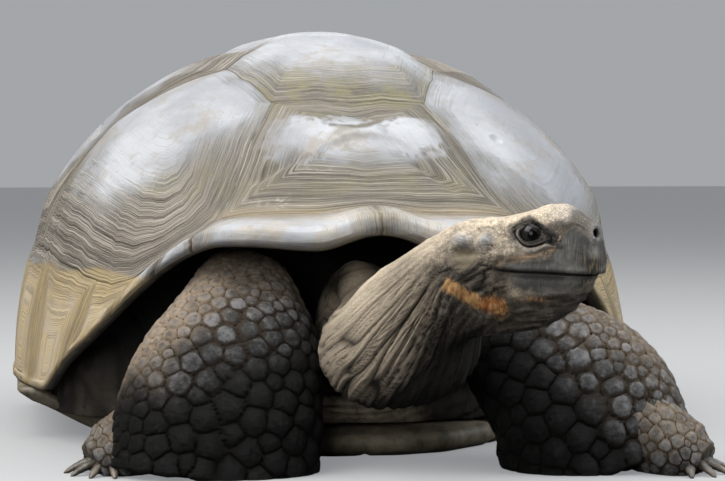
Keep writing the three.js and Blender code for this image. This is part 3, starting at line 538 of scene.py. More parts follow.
# A seam: a straight line on the disc that wanders a little, the same from both of its plates.
def seamLine(a, b):
    first, last = sorted([a, b])
    p, q = discPoint(first), discPoint(last)
    t = np.linspace(0, 1, 60)[:, None]
    line = p + (q - p) * t
    if min(np.linalg.norm(p), np.linalg.norm(q)) > 1.1:
        turn = np.unwrap([np.arctan2(p[1], p[0]), np.arctan2(q[1], q[0])])
        angle = turn[0] + (turn[1] - turn[0]) * t[:, 0]
        line = 1.15 * np.stack([np.cos(angle), np.sin(angle)], -1)
    else:
        key = sum(ord(ch) * (i + 3) for i, ch in enumerate(first.rstrip("'") + last.rstrip("'")))
        side = np.array([-(q - p)[1], (q - p)[0]])
        side /= max(np.linalg.norm(side), 1e-9)
        flip = -1 if a.endswith("'") or b.endswith("'") else 1
        wave = np.sin(np.pi * t) * (np.sin(t * 9 + key) * 0.4 + np.sin(t * 21 + key * 2) * 0.2) * 0.006
        line = line + side * wave * flip
    return (line if a == first else line[::-1])[:-1]


# The outline of a plate, resampled to equal steps along the dome.
def outlineOf(loop, count):
    line = np.concatenate([seamLine(n, loop[(i + 1) % len(loop)]) for i, n in enumerate(loop)])
    area = np.sum(line[:, 0] * np.roll(line[:, 1], -1) - line[:, 1] * np.roll(line[:, 0], -1))
    if area < 0:
        line = line[::-1]
    world = onDisc(line, 0.0)
    run = np.concatenate([[0], np.cumsum(np.linalg.norm(np.roll(world, -1, 0) - world, axis=1))])
    want = np.linspace(0, run[-1], count, endpoint=False)
    closed = np.concatenate([line, line[:1]])
    return np.stack([np.interp(want, run, closed[:, i]) for i in (0, 1)], -1)


# Growth ridges: rounded waves of the ring number, uneven in pitch and height.
def growthRidges(rings, ground, seed):
    phase = rings + 0.22 * noise(ground / 45.0, seed + 9)
    wave = (phase + 0.35 * np.sin(phase * 1.7)) % 1.0
    uneven = 0.6 + 0.5 * noise(stacked(phase * 0.9, ground[..., 0] / 80, ground[..., 1] / 80), seed + 2)
    return (0.5 - np.abs(wave * 2 - 1) ** 1.6) * uneven


# Where earth and moss lie and where seams are pale, from the place on the shell.
def shellFields(points, growth, toSeam, pitch, worn, seed):
    x, y, z = points[..., 0], points[..., 1], points[..., 2]
    low = fall(z + 5 * noise(points / 50.0, 31), 244, 254)
    rearward = fall(x, -420, -300)
    earth = low * np.maximum(fade(np.abs(y), 225, 300), 0.9 * rearward)
    blotch = fade(noise(points / 34.0, 77) + 0.6 * noise(points / 12.0, 78), 0.05, 0.6)
    blotch = blotch * fall(z, 325, 345)
    frontEdge = np.maximum(0.45 * bell(z, 331, 9), 0.35 * blotch) * fade(x, 470, 520)
    high = bell(z, 500, 36) * fade(worn, 0.85, 1.05) * fade(x, 100, 260)
    moss = np.clip(high + 0.5 * bell(z, 372, 26) * fade(worn, 1.0, 1.3), 0, 1)
    firstSeam = bell(growth, 1.0, 0.006) * fade(z, 322, 340) * fall(z, 470, 490) * fade(x, 250, 320)
    grains = fade(noise(points / 2.0, 58), 0.35, 0.6) * bell(z, 345, 9)
    grains = grains * fade(x, 430, 470) * bell(y, -120, 32)
    return {
        "seam": fall(toSeam, 0.2, 1.5), "rings": growth * pitch, "worn": worn,
        "plate": np.full(z.shape, (seed * 0.6180339) % 1), "earth": np.clip(earth + frontEdge, 0, 1),
        "moss": moss, "pale": np.clip(0.8 * firstSeam + 0.7 * grains, 0, 1),
    }


# A plate: smaller and smaller copies of its outline round its worn middle, s = 1 at the seam and 0
# at the middle, lifted off the dome by a low boss that rises from the seam, and by its rings.
def platePart(loop, around, rows, seed, boss, reach, worn=None, extra=None, share=None):
    outline = outlineOf(loop, around)
    centre, half = (outline.mean(0), None) if worn is None else (np.array(worn[0]), worn[1])
    s = np.linspace(0.02, 1, rows)[:, None]
    size = np.linalg.norm(onDisc(outline, 0.0) - onDisc(centre[None], 0.0), axis=-1)[None]
    narrow = 1 - shell["seamGap"] / size
    grid = centre + (outline[None] - centre) * (s * narrow)[..., None]
    ground = onDisc(grid, 0.0)
    toSeam = (1 - s) * size
    if half is None:
        wornAt = s / (share or shell["wornShare"]) + 0 * size
    else:
        aside = np.abs((grid - centre) / half) ** 2.6
        wornAt = (aside[..., 0] + aside[..., 1]) ** (1 / 2.6)
    pitch = size.mean() / shell["ringPitch"]
    lift = shell["seamLift"] + boss * fade(toSeam, -6, reach)
    lift = lift + 1.3 * noise(ground / 120.0, seed + 5) * fade(toSeam, 2, 40)
    lift -= 0.4 * fall(toSeam, 0, 1.6)
    valley = np.linalg.norm(np.abs(grid) - discPoint("c"), axis=-1)
    lift -= 4.5 * np.exp(-((valley / 0.12) ** 2))
    ringed = fade(wornAt + 0.3 * noise(ground / 45.0, seed), 0.85, 1.25) * fade(toSeam, 0.5, 5)
    lift += (0.15 + 0.85 * ringed) * shell["ringHeight"] * growthRidges(s * pitch, ground, seed)
    lift += 0.22 * noise(ground / 8.0, seed + 3)
    if extra is not None:
        # An extra relief may bring browning and painted shade.
        change, browningAndShade = extra(ground)
        lift = lift + change
        wornAt = wornAt + browningAndShade
    top = onDisc(grid, lift)
    deep = -shell["plateDepth"] + 7.5 * fade(np.linalg.norm(outline, axis=-1), 0.85, 1.0)[None]
    skirt = onDisc(grid[-1:], deep)
    below = onDisc((centre + (outline - centre) * 0.5)[None], deep)
    points = np.concatenate([top, skirt, below])
    growth = np.concatenate([s + 0 * size, np.ones((2, around))])
    toSeam = np.concatenate([toSeam, np.zeros((2, around))])
    wornAll = np.concatenate([wornAt, wornAt[-1:], wornAt[-1:]])
    return gridParts(points / 1000, shellFields(points, growth, toSeam, pitch, wornAll, seed))


# The old middle of the first vertebral plate. Two lobes stand left and right of a brown hollow
# triangle with a pale patch in it, a crest crosses between them, and swales run under them, with painted
# shade along them. A lobe and the hollow have a height, then a middle and a width across and upward.
firstPlate = {
    "lobes": ((8.0, -86, 44, 426, 32), (8.0, 84, 38, 431, 25)), "hollow": (-6.0, -6, 44, 456, 20),
    "crest": through([(-75, 402), (-49, 414), (-1, 431), (45, 423), (75, 410)]), "crestHeight": 6.5,
    "swales": ((-148, -86, 372, 402), (70, 118, 392, 361)), "swaleDepth": 8.0, "patch": (-18, 456, 34, 9),
}


def firstPlateRelief(p):
    f = firstPlate
    y, z = p[..., 1], p[..., 2]
    lift, shaded = bumps(y, z, f["lobes"] + (f["hollow"],)), np.zeros(y.shape)
    over = z - f["crest"](y)
    lift += f["crestHeight"] * bell(y, 0, 60) * np.where(over > 0, bell(over, 0, 16), bell(over, 0, 6))
    for y0, y1, z0, z1 in f["swales"]:
        line = z - (z0 + (z1 - z0) * np.clip((y - y0) / (y1 - y0), 0, 1))
        right, left = min(y0, y1), max(y0, y1)
        along = fade(y, right - 14, right + 10) * fall(y, left - 10, left + 14)
        lift -= f["swaleDepth"] * bell(line, 0, 8) * along
        # Painted shade along each swale: the plate turns toward its ring colour there.
        shaded += 0.35 * bell(line, -3, 8) * along
    wavy = noise(p / 16.0, 44)
    triangle = fade(z - 431 - 0.42 * np.abs(y + 4) + 7 * wavy, -5, 7)
    y0, z0, wide, tall = f["patch"]
    patch = fade(1 - ((y - y0) / wide) ** 2 - ((z - z0) / tall) ** 2 + 0.9 * noise(p / 7.0, 45), -1.0, 1.1)
    lobes = bumps(y, z, [(1, y0, 1.15 * wide, z0, 1.15 * tall) for _, y0, wide, z0, tall in f["lobes"]])
    bare = fade(lobes + 0.8 * patch + 0.22 * wavy + 0.15 * noise(p / 6.0, 46), 0.12, 0.62)
    hollow = 0.95 * triangle * (1 - 0.8 * patch) * (np.abs(y) < 110)
    return lift, np.maximum(0.62 * (1 - bare), hollow) + shaded


def pitMark(p):  # a round scar on the first left costal plate
    d = np.linalg.norm(p - np.array(shell["scar"]), axis=-1)
    return 1.2 * bell(d, 11, 3.5) - 2.6 * bell(d, 0, 7), 0.6 * bell(d, 0, 6)


# The base carries the plates: a skin sunk below them, round the lip and up the inner wall.
def makeShellBase():
    theta = np.linspace(-np.pi, np.pi, 360, endpoint=False)[None]
    rho = np.concatenate([np.linspace(0.04, 0.98, 40), [1.0, 1.04, 1.08, 1.12, 1.15, 1.2]])[:, None]
    sunk = -shell["baseDepth"] + (shell["baseDepth"] - 2.4) * fade(rho, 0.85, 1.0)
    sunk = np.where(rho < 1.14, sunk, -0.2)
    outer = liftedDome(rho + 0 * theta, theta + 0 * rho, sunk + 0 * theta)
    angle = np.abs(np.degrees(theta))
    reach = np.linalg.norm(rimPoint(theta) - apex[:2], axis=-1)
    start = (2 / np.pi) * np.arcsin((1 - (24 + flange(angle)) / reach) ** (1 / sideBulge(angle)))
    share = np.array([1, 0.93, 0.86, 0.77, 0.68, 0.58, 0.48, 0.38, 0.28, 0.12])[:, None]
    inner = liftedDome(start * share, theta + 0 * share, -shell["wall"] + 0 * (start * share))
    finish(gridMesh("shellBase", np.concatenate([outer, inner])), underHorn, "shell", "carapace")


# Every plate is laid out by its corners. The numbers are its points around and inward and its seed.
def makeShell():
    boss, reach = shell["boss"], shell["bossReach"]
    first = platePart(vertebrals[0], 360, 150, 1, boss * 0.75, reach, wornMiddles["first"], firstPlateRelief)
    finish(joinParts("vertebralPlateFront", [first]), hornPlate, "shell")
    rest = [platePart(vertebrals[1], 280, 100, 2, boss + 2.5, 75, wornMiddles["second"])]
    for i, loop in enumerate(vertebrals[2:]):
        rest.append(platePart(loop, 240, 80, 3 + i, boss, 75, share=0.6 if i else 0.9))
    finish(joinParts("vertebralPlates", rest), hornPlate, "shell")
    for side, mark, extra in (("Left", 0, pitMark), ("Right", 1, None)):
        loops = [[mirrorName(n) for n in loop] if mark else loop for loop in costals + marginals]
        seed = 11 + 7 * mark
        parts = [platePart(loops[0], 320, 120, seed, boss, reach, wornMiddles["costal" + side], extra)]
        parts += [platePart(loop, 230, 80, seed + 1 + i, boss, reach) for i, loop in enumerate(loops[1:4])]
        finish(joinParts("costalPlates" + side, parts), hornPlate, "shell")
        seed = 40 + 17 * mark
        parts = [platePart(loops[4], 200, 52, seed, 2.6, 30, share=0.74)]
        for i, loop in enumerate(loops[5:], 1):
            parts.append(platePart(loop, 160, 52 if i < 5 else 34, seed + i, 1.6, 30, share=0.62))
        if not mark:
            parts.append(platePart(supracaudal, 190, 34, 77, 2.6, 30))
        finish(joinParts("marginalPlates" + side, parts), hornPlate, "shell")
    makeShellBase()


makeShell()
print("shell made")

# Millimetres. half is the left half of the outline seen from above, from the front to the back.
belly = {
    "half": [(492, 0), (494, 48), (470, 118), (405, 186), (318, 250), (236, 318), (212, 340), (208, 452),
             (198, 466), (-222, 466), (-230, 452), (-232, 330), (-318, 262), (-398, 206), (-452, 128),
             (-448, 60), (-428, 0)],
    "seams": [378, 218, 92, -144, -304], "thickness": 38.0, "grooveDepth": 3.4, "grooveWidth": 4.0,
}


# Plastron: a polar grid over its outline, down one face and up the other. The wings rise to the rim.
def makePlastron():
    half = np.array(belly["half"], float)
    outline = np.concatenate([half, half[-2:0:-1] * [1, -1]])
    angle = np.linspace(0, 2 * np.pi, 420, endpoint=False)
    ray = np.stack([np.cos(angle), np.sin(angle)], -1)
    edge = np.roll(outline, -1, 0) - outline
    cross = ray[:, None, 0] * edge[None, :, 1] - ray[:, None, 1] * edge[None, :, 0]
    cross = np.where(np.abs(cross) < 1e-9, 1e-9, cross)
    t = (outline[None, :, 0] * edge[None, :, 1] - outline[None, :, 1] * edge[None, :, 0]) / cross
    s = (outline[None, :, 0] * ray[:, None, 1] - outline[None, :, 1] * ray[:, None, 0]) / cross
    t = np.where((s >= -1e-6) & (s <= 1 + 1e-6) & (t > 0), t, 0).max(1)
    t = (np.roll(t, 1) + 2 * t + np.roll(t, -1)) / 4
    share = np.concatenate([np.linspace(0.01, 0.93, 110), [0.955, 0.975, 0.99]])[:, None]
    xy = (share * t)[..., None] * ray[None]
    x, y = xy[..., 0], xy[..., 1]
    side = np.abs(y)
    groove = bell(y + 2 * np.sin(x / 60), 0, belly["grooveWidth"])
    for k, at in enumerate(belly["seams"]):
        line = x - at - 14 * np.cos(side / 90 + k) * (1 if k < 3 else -1)
        groove = np.maximum(groove, bell(line, 0, belly["grooveWidth"]) * fall(side, 315, 330))
    groove = np.maximum(groove, bell(side, 322, 4.5) * (np.abs(x) < 215))
    calm = fade(np.hypot(x, y), 44, 60)
    bottom = 54 * fade(side, 296, 462) ** 1.3 + belly["grooveDepth"] * groove * calm
    bottom = bottom + 12 * fade(share, 0.93, 1.0) ** 2
    top = belly["thickness"] + 35.4 * fade(side, 350, 436)
    top = top - 8 * fade(share, 0.9, 1.0) ** 2 * fall(side, 400, 436)
    low = stacked(x, y, np.maximum(bottom, 0.0))
    high = stacked(x, y, top)[::-1]
    rim = stacked(x[-1:] * 1.008, y[-1:] * 1.008, (low[-1:, :, 2] + high[:1, :, 2]) / 2)
    points = np.concatenate([low, rim, high[:3], high[3::4]])
    finish(gridMesh("plastronPlates", points), bellyHorn, "belly", "plastron")


makePlastron()

# Skin: brown grey, with painted shade nearly black in the creases and holes, and dust on the ridges that
# also stands for light where light falls. The point fields bring the smooth dark beak, the ear, the orbit,
# a painted blue-grey sheen and the rust stains.
skinTone = {
    "base": (0.135, 0.108, 0.080), "grey": (0.098, 0.088, 0.074), "pale": (0.560, 0.470, 0.355),
    "creaseShade": (0.006, 0.005, 0.004), "beak": (0.030, 0.030, 0.028), "beakLight": (0.092, 0.090, 0.083),
    "rib": (0.15, 0.125, 0.075), "stain": (0.46, 0.150, 0.030), "stainLight": (0.72, 0.43, 0.17),
    "ridge": (0.40, 0.285, 0.185), "ear": (0.230, 0.195, 0.135), "orbit": (0.022, 0.020, 0.020),
    "lid": (0.170, 0.174, 0.174), "blueSheen": (0.240, 0.250, 0.265), "holeShade": (0.0015, 0.0015, 0.0015),
}


def skinMaterial():
    t = skinTone
    material, tree, shader = newMaterial("looseSkin", 0.6, 0.25)
    where = objectPlace(tree)
    creaseShade, beak, ear, stain, orbit, lid, blueSheen, holeShade, dustAndLight, rib, pebbled, ridge, strand, loose = (
        field(tree, k) for k in skinFields)
    cloud = noiseOf(where, 16.0, 5.0, 0.62)
    colour = mixed(spread(cloud, 0.38, 0.62), t["base"], t["grey"])
    pale = spread(noiseOf(where, 70.0, 7.0, 0.74) + dustAndLight * 0.40, 0.52, 0.90) * (0.15 + dustAndLight)
    pebbles, tight = grouped(tree, skinPebble, Scale=260.0)
    # Over it: dust that also stands for light, painted shade in the pebbles' grooves and a painted blue-grey
    # sheen.
    for mask, tone in ((pale, "pale"), (tight * pebbled * 0.65, "creaseShade"), (blueSheen * 0.8, "blueSheen"),
                       (ear * 0.75, "ear"), (orbit * 0.92, "orbit"), (lid * 0.85, "lid")):
        colour = mixed(mask, colour, t[tone])
    upright = node(tree, "Mapping", None, Vector=where, Scale=(1.0, 1.0, 0.07))
    ribs = noiseOf(upright, 330.0, 2.0, 0.6)
    horn = mixed(spread(noiseOf(where, 30.0, 5.0, 0.65), 0.40, 0.66), t["beak"], t["beakLight"])
    horn = mixed(spread(ribs, 0.50, 0.66) * rib, horn, t["rib"])
    colour = mixed(beak, colour, horn)
    tanned = spread(noiseOf(where, 75.0, 7.0, 0.76) + ridge * 0.3, 0.56, 0.80)
    colour = mixed(ridge * tanned, colour, t["ridge"])
    slanted = node(tree, "Mapping", None, Vector=where, Rotation=(0.0, 0.7, 0.0), Scale=(1.0, 1.0, 0.35))
    fibre = noiseOf(slanted, 210.0, 6.0, 0.74)
    orange = mixed(spread(fibre * 1.6 + rib * 0.12, 0.72, 0.98), t["stain"], t["stainLight"])
    soaked = spread(fibre * 0.9 + stain * 0.62, 0.58, 0.96)
    threads = noiseOf(where, 14.0, 4.0, 0.75, strand * 0.42)
    # Thin threads painted dark as shade in the fine folds of the loose skin.
    thin = spread(threads, 0.50, 0.42) * loose
    colour = mixed(thin * 0.62, colour, t["creaseShade"])
    # Painted shade in the creases.
    colour = mixed(creaseShade * 0.94, colour, t["creaseShade"])
    colour = mixed(soaked * (0.92 - thin * 0.5), colour, orange)
    # Holes and the skin inside the shell are painted almost black as shade.
    drive(shader, "Base Color", mixed(holeShade, colour, t["holeShade"]))
    drive(shader, "Roughness", 0.68 - beak * 0.22 + creaseShade * 0.2)
    height = pebbles * pebbled * 0.7 + noiseOf(where, 120.0, 7.0, 0.74) * 1.8
    height = height * (1.0 - beak * 0.8) + ribs * beak * 0.5 + threads * loose * 3.0
    bumpInto(shader, height, 0.0022, 1.0)
    return material


skinFields = ("creaseShade", "beak", "ear", "stain", "orbit", "lid", "blueSheen", "holeShade", "dustyAndLit", "rib", "pebbled",
              "ridge", "strand", "loose")
looseSkin = skinMaterial()

# Millimetres, in the head's own frame: d back from the nostrils, s to its left, k up.
face = {
    "yaw": 55.0, "nostrils": (849.0, 220.0, 316.0), "noseBulge": 7.5, "noseCore": -22.0, "noseBack": 3.0,
    "eye": (69.5, 32.2, -4.0), "eyeRadius": 16.5, "opening": (9.0, 7.4), "lids": (14.8, 11.2), "tilt": 0.22,
    "gaze": (0.34, 0.93), "ear": (147.0, -33.0, 21.0, 17.0), "nostril": (-1.6, 8.8, -2.2, 6.2),
    "nostrilDepth": 7.5, "snoutRound": (320.0, 90.0), "mouthCorner": (114.0, -44.0),
}
# Swellings and hollows of the head: height, then middle and width along d and along k.
faceSwells = {
    "cheeks": ((5.0, 65, 24, 16, 9), (4.0, 135, 26, -58, 22)),
    "temples": ((7.0, 150, 12, -12, 7), (6.0, 120, 9, -11, 7), (-4.0, 147, 17, -25, 5),
                (-2.5, 135, 4, -12, 8), (2.8, 94, 28, -27, 7), (-2.6, 97, 16, -8, 7), (-2.4, 27, 8, -2, 12)),
    # Where the painted blue-grey sheen lies on the temple knobs: height, then middle and width along d and
    # along k.
    "knobs": ((1.0, 150, 12, -12, 7), (1.0, 120, 8, -11, 7)),
}
yaw = np.radians(face["yaw"])
noseWay = np.array([np.cos(yaw), np.sin(yaw), 0.0])
leftWay = np.array([-np.sin(yaw), np.cos(yaw), 0.0])
headTop = through([(0, 11), (12, 17), (27, 27), (42, 33), (58, 32), (76, 26), (99, 20), (125, 16), (165, 13),
                   (192, 5), (219, -10)])
headBottom = through([(0, -54), (4, -60), (8, -67), (17, -81), (30, -95), (45, -105), (68, -117), (100, -124),
                      (135, -128), (165, -129), (190, -122), (219, -100)])
headHalf = through([(0, 22), (5, 24.5), (15, 28.5), (30, 34), (50, 41), (75, 51), (100, 58), (130, 65),
                    (160, 66), (190, 60), (219, 46)])
mouthLine = through([(0, -52), (30, -50.5), (60, -49), (90, -47.5), (120, -43)])
upperHorn = through([(-10, -12), (4, -7), (12, 2), (20, 6), (27, 2), (33, -9), (40, -23), (50, -30),
                     (66, -34), (90, -37), (110, -44)])
lowerHorn = through([(0, -61), (18, -69), (34, -73), (57, -73), (79, -68), (96, -60)])
stainPath = through([(94, -90), (108, -88), (122, -85), (134, -80), (146, -73), (158, -66), (172, -64)])
neckStations = [  # x, y, z, half width, half height
    (350, 0, 178, 56, 78), (430, 2, 177, 59, 86), (480, 4, 175, 63, 91), (530, 8, 162, 71, 76),
    (600, 10, 163, 86, 79), (668, 36, 190, 82, 84), (722, 64, 226, 70, 72), (762, 100, 258, 60, 62),
]


def headPoint(d, s, k):  # from the head's own frame to the model's
    place = stacked(d, s, k)
    level = np.array(face["nostrils"]) - place[..., :1] * noseWay + place[..., 1:2] * leftWay
    return level + place[..., 2:] * [0, 0, 1.0]


# A head section at d: a rounded box between top and bottom. w runs once around, from the right side
# over the top, and the column that lies at the mouth follows the mouth line exactly.
def headSection(w, d):
    top, bottom = headTop(d), headBottom(d)
    mid = (top + bottom) / 2 + 6
    square = 2 / 2.5
    mouth = np.arcsin(np.clip((mid - mouthLine(d)) / (mid - bottom), 0.02, 0.98) ** (1 / square))
    turn = w * 2 * np.pi
    share = np.where(turn < 1.5 * np.pi, turn - np.pi, 2 * np.pi - turn) / (np.pi / 2)
    keep = 0.42
    below = mouth + (share - keep) / (1 - keep) * (np.pi / 2 - mouth)
    bent = np.where(share < keep, share / keep * mouth, below)
    lower = turn > np.pi
    c = np.where(lower, np.sign(np.cos(turn)) * np.cos(bent), np.cos(turn))
    s = np.where(lower, -np.sin(bent), np.sin(turn))
    half = headHalf(d) * np.abs(c) ** square
    k = np.where(s > 0, mid + (top - mid) * np.abs(s) ** square, mid - (mid - bottom) * np.abs(s) ** square)
    half = half * (1 - 0.07 * fade(mouthLine(d) - k, 1, 9) * fall(d, 75, 115))
    half = half * (1 - 0.16 * fade(k, -26, 8) * fall(d, 4, 34))
    half += bumps(d, k, faceSwells["cheeks"])
    return -np.sign(c) * half, k


# Columns once around, closer together at the mouth and at the height of the eyes.
def headColumns(count):
    w = np.linspace(0, 1, 2000)
    share = np.where(w < 0.5, 0, np.where(w < 0.75, (w - 0.5) * 4, (1 - w) * 4))
    dense = 1 + 2.2 * bell(share, 0.42, 0.05) * (w > 0.5)
    dense += 0.9 * (bell(w, 0.0, 0.07) + bell(w, 1.0, 0.07) + bell(w, 0.5, 0.07))
    run = np.concatenate([[0], np.cumsum((dense[1:] + dense[:-1]) / 2)])
    return np.interp(np.linspace(0, run[-1], count, endpoint=False), run, w)


# Rings round the eye: the part they run in, height or depth of painted shade, place and width in lid sizes.
eyeRings = {
    "lift": (("all", 1.3, 1.03, 0.06), ("under", -3.6, 1.24, 0.10), ("band", 2.2, 1.72, 0.28),
             ("band", -0.8, 2.15, 0.10), ("above", 1.3, 1.28, 0.10), ("above", -1.4, 1.48, 0.08),
             ("above", 1.6, 1.95, 0.3)),
    "creaseShade": (("under", 1.4, 1.22, 0.11), ("above", 0.9, 1.46, 0.07), ("band", 0.2, 2.15, 0.08)),
}


# Eye socket: an opening over the ball in swollen dark lids, and a thin pale rim round the lids. Behind
# and below runs a deep crescent of painted shade, then a swollen band. Above and in front lie short folds
# painted dark as shade.
def eyeRelief(d, k, onSide, q):
    ex, ez = d - face["eye"][0], k - face["eye"][2]
    ez = (ez - face["tilt"] * ex) * (1 + 0.40 * np.minimum(np.abs(ex) / face["lids"][0], 1.3) ** 2)
    ahead = fade(-ex, 4, 18)
    wide, tall = face["opening"]
    inner = np.hypot((ex - 2.5) / wide, ez / tall) * (1 + 0.03 * noise(q / 5.0, 3))
    wide, tall = face["lids"]
    lids = np.hypot(ex / (wide * (1 + 0.25 * ahead)), ez / tall) * (1 + 0.05 * noise(q / 7.0, 4))
    under = fade(-ez + 0.35 * ex, -1.5, 5)
    above = 1 - under
    band = under * (1 - 0.85 * fade(ex, 6, 20))
    lift = -12 * fall(inner, 0.86, 1.06) + 1.4 * fade(inner, 1.0, 1.15) * fall(lids, 0.80, 1.0)
    parts = {"all": 1, "under": under, "above": above, "band": band}
    lift += sum(height * parts[part] * bell(lids, at, wide) for part, height, at, wide in eyeRings["lift"])
    folds = np.abs(noise(stacked(lids * 6.5 + 0.7 * noise(q / 5.0, 24), np.arctan2(ez, ex) * 2.6, 0 * d), 23))
    skin = fade(lids, 1.05, 1.2) * fall(lids, 1.7, 2.4) * (1 - 0.8 * band)
    lift -= 1.9 * skin * np.exp(-folds * 6)
    lift -= 0.6 * np.exp(-folds * 5) * fade(inner, 1.1, 1.2) * fall(lids, 0.85, 0.95)
    creaseShade = 1.2 * bell(inner, 1.0, 0.07) + 0.9 * skin * np.exp(-folds * 8)
    creaseShade += sum(depth * parts[part] * bell(lids, at, wide) for part, depth, at, wide in eyeRings["creaseShade"])
    spreadOut = lids + 0.15 * noise(q / 4.0, 8) - 0.45 * ahead
    orbit = np.maximum((1 - band) * fall(spreadOut, 1.5, 2.3), fall(lids, 1.25, 1.4))
    rim = bell(lids, 1.02, 0.05) * (0.18 + 0.55 * under)
    rim = np.maximum(rim, 0.45 * band * bell(lids, 1.75, 0.34))
    return onSide * lift, onSide * creaseShade, onSide * np.clip(orbit, 0, 1) * (1 - rim), onSide * rim


# Two round nostrils: spheres sunk into the tip, with a low swollen rim. Their insides take painted shade.
def nostrilRelief(d, s, k):
    d0, s0, k0, radius = face["nostril"]
    away = np.sqrt((d - d0) ** 2 + (np.abs(s) - s0) ** 2 + (k - k0) ** 2) / radius
    return fall(away, 0.70, 1.05), bell(away, 1.45, 0.35)


# What the face adds along its normal, in millimetres, and the fields that colour it.
def faceRelief(d, s, k, q):
    side = np.abs(s)
    onSide = fade(side, 16, 28)
    m = k - mouthLine(d)
    atMouth = fall(d, 96, 120)
    lift, creaseShade, orbit, lid = eyeRelief(d, k, onSide, q)
    lift -= 5.0 * bell(m, 0, 1.5) * atMouth
    lift += 1.6 * bell(m, 5.0, 4.0) * atMouth - 1.6 * bell(m, -5.0, 4.5) * atMouth
    creaseShade += 1.2 * bell(m, -0.5, 1.9) * atMouth
    cd, ck = face["mouthCorner"]
    fan = np.arctan2(ck - k, d - cd + 14)
    far = np.hypot(d - cd + 14, k - ck)
    rays = stacked(fan * 8.0 + 0.5 * noise(q / 22.0, 19), far / 60, 3 * np.sign(s))
    rays = np.abs(noise(rays, 17))
    fanned = onSide * fade(far, 8, 20) * fall(far, 80, 120) * fade(d, 92, 110) * fall(k, -36, -22)
    lift += fanned * 2.0 * (0.7 - np.exp(-rays * 7))
    creaseShade += fanned * 0.8 * np.exp(-rays * 9)
    earBack, earUp, earWide, earTall = face["ear"]
    ring = np.hypot((d - earBack) / earWide, (k - earUp) / earTall)
    lift -= onSide * 6.0 * fall(ring, 0.45, 1.05)
    lift += onSide * bumps(d, k, faceSwells["temples"])
    creaseShade += 0.6 * onSide * bell(ring, 1.02, 0.09) * fade(-(k - earUp), -6, 8)
    overHorn = k - upperHorn(d)
    underHornLine = k - lowerHorn(d)
    ragged = 3.5 * noise(q / 7.0, 36) + 2 * noise(q / 2.6, 37)
    upper = fall(overHorn + ragged, -4.0, 4.0) * fade(m, -0.5, 0.8) * fall(d, 92, 112)
    lower = fall(m, -0.8, 0.5) * fade(underHornLine + ragged, -3.5, 3.5) * fall(d, 78, 102)
    beak = np.clip(upper + lower, 0, 1)
    lift += 0.8 * beak * fall(d, 70, 100)
    lift -= 0.8 * bell(overHorn, 2.0, 1.6) * fall(d, 90, 108) * (d > 4)
    holeShade, holeRim = nostrilRelief(d, s, k)
    most, share = face["snoutRound"]
    lift -= fall(d, 0, 14) * fade(k, -34, -14) * np.minimum(side**2, most) / share
    lift += 0.9 * holeRim * (d < 12)
    quiet = (1 - beak) * fall(holeShade, 0.0, 0.3) * (1 - lid)
    small, medium = layered(q / 4.2, 40, 3), layered(q / 12.0, 50, 2)
    lift += quiet * (0.5 * small + 0.9 * medium)
    chin = fade(-k - 0.12 * d, 62, 78) * fall(d, 150, 185)
    lineAt = k + 0.08 * d + 0.36 * (np.hypot(d - 110, 30) + d - 110)
    grain = np.abs(noise(stacked(lineAt / 4.6, d / 26, side / 40), 61))
    rough = np.abs(noise(q / 5.5, 67))
    cheek = fade(d, 84, 108) * fade(-k, 24, 52) * (1 - chin)
    ridges = np.exp(-grain * 3.8)
    cracks = np.exp(-rough * 9) * fade(d, 84, 110) * (1 - fade(ring, 1.3, 0.9) * 0.8)
    lift += quiet * (3.0 * chin * (ridges - 0.4) - 2.0 * cheek * np.exp(-grain * 8) - 0.8 * cracks)
    dark = chin * (0.84 - 1.10 * ridges) + cheek * np.exp(-grain * 7) + 0.5 * cracks * (1 - chin)
    creaseShade += quiet * np.clip(dark - 0.35 * medium - 0.25 * small, 0, 1)
    crown = fade(k, 4, 18) * fade(d, 14, 34)
    stain = onSide * bell(k - stainPath(d), -1, 10 + 4 * fade(-d, -125, -100))
    stain = stain * fade(d, 88, 104) * fall(d, 158, 182)
    stain = np.maximum(stain, 0.55 * onSide * bell(d, 64, 26) * bell(k, -81, 4.0))
    ridge = bell(overHorn, 4.5, 4.0) * fade(d, 24, 34) * fall(d, 96, 122) * (0.65 + 0.5 * medium)
    frontLow = fall(d, 6, 26) * fade(-k, 18, 40)
    padding = bell(d, -5, 9) * bell(k, -3, 12) * (1 - holeShade)
    # A painted blue-grey sheen on the temple knobs, the nose pad and the front of the crown.
    knobs = onSide * bumps(d, k, faceSwells["knobs"])
    blueSheen = np.clip(knobs + 0.8 * padding + 0.35 * crown * bell(d, 30, 22), 0, 1)
    # Dust with painted light: lighter on the crown and upper sides, and painted shade over the snout.
    snout = fall(d, 34, 52) * (1 - padding)
    dustyAndLit = 0.36 + 1.05 * crown + 0.35 * fade(k, -34, 0) * fade(d, 60, 90) - 0.60 * snout
    fields = {
        "creaseShade": np.clip(creaseShade, 0, 1), "beak": beak * (1 - holeShade), "stain": np.clip(stain, 0, 1),
        "ear": onSide * fall(ring, 0.55, 1.0), "orbit": orbit, "lid": lid, "blueSheen": blueSheen, "holeShade": holeShade,
        "ridge": ridge, "rib": np.clip(0.75 * frontLow + 0.05 + fade(d, 118, 150), 0, 1),
        "dustyAndLit": np.clip(dustyAndLit + 0.02 * fade(-k, 58, 80), 0, 1.3), "pebbled": quiet * (0.55 + 0.2 * crown),
        "strand": lineAt, "loose": np.clip(cheek + chin, 0, 1) * quiet,
    }
    return lift, fields, holeShade


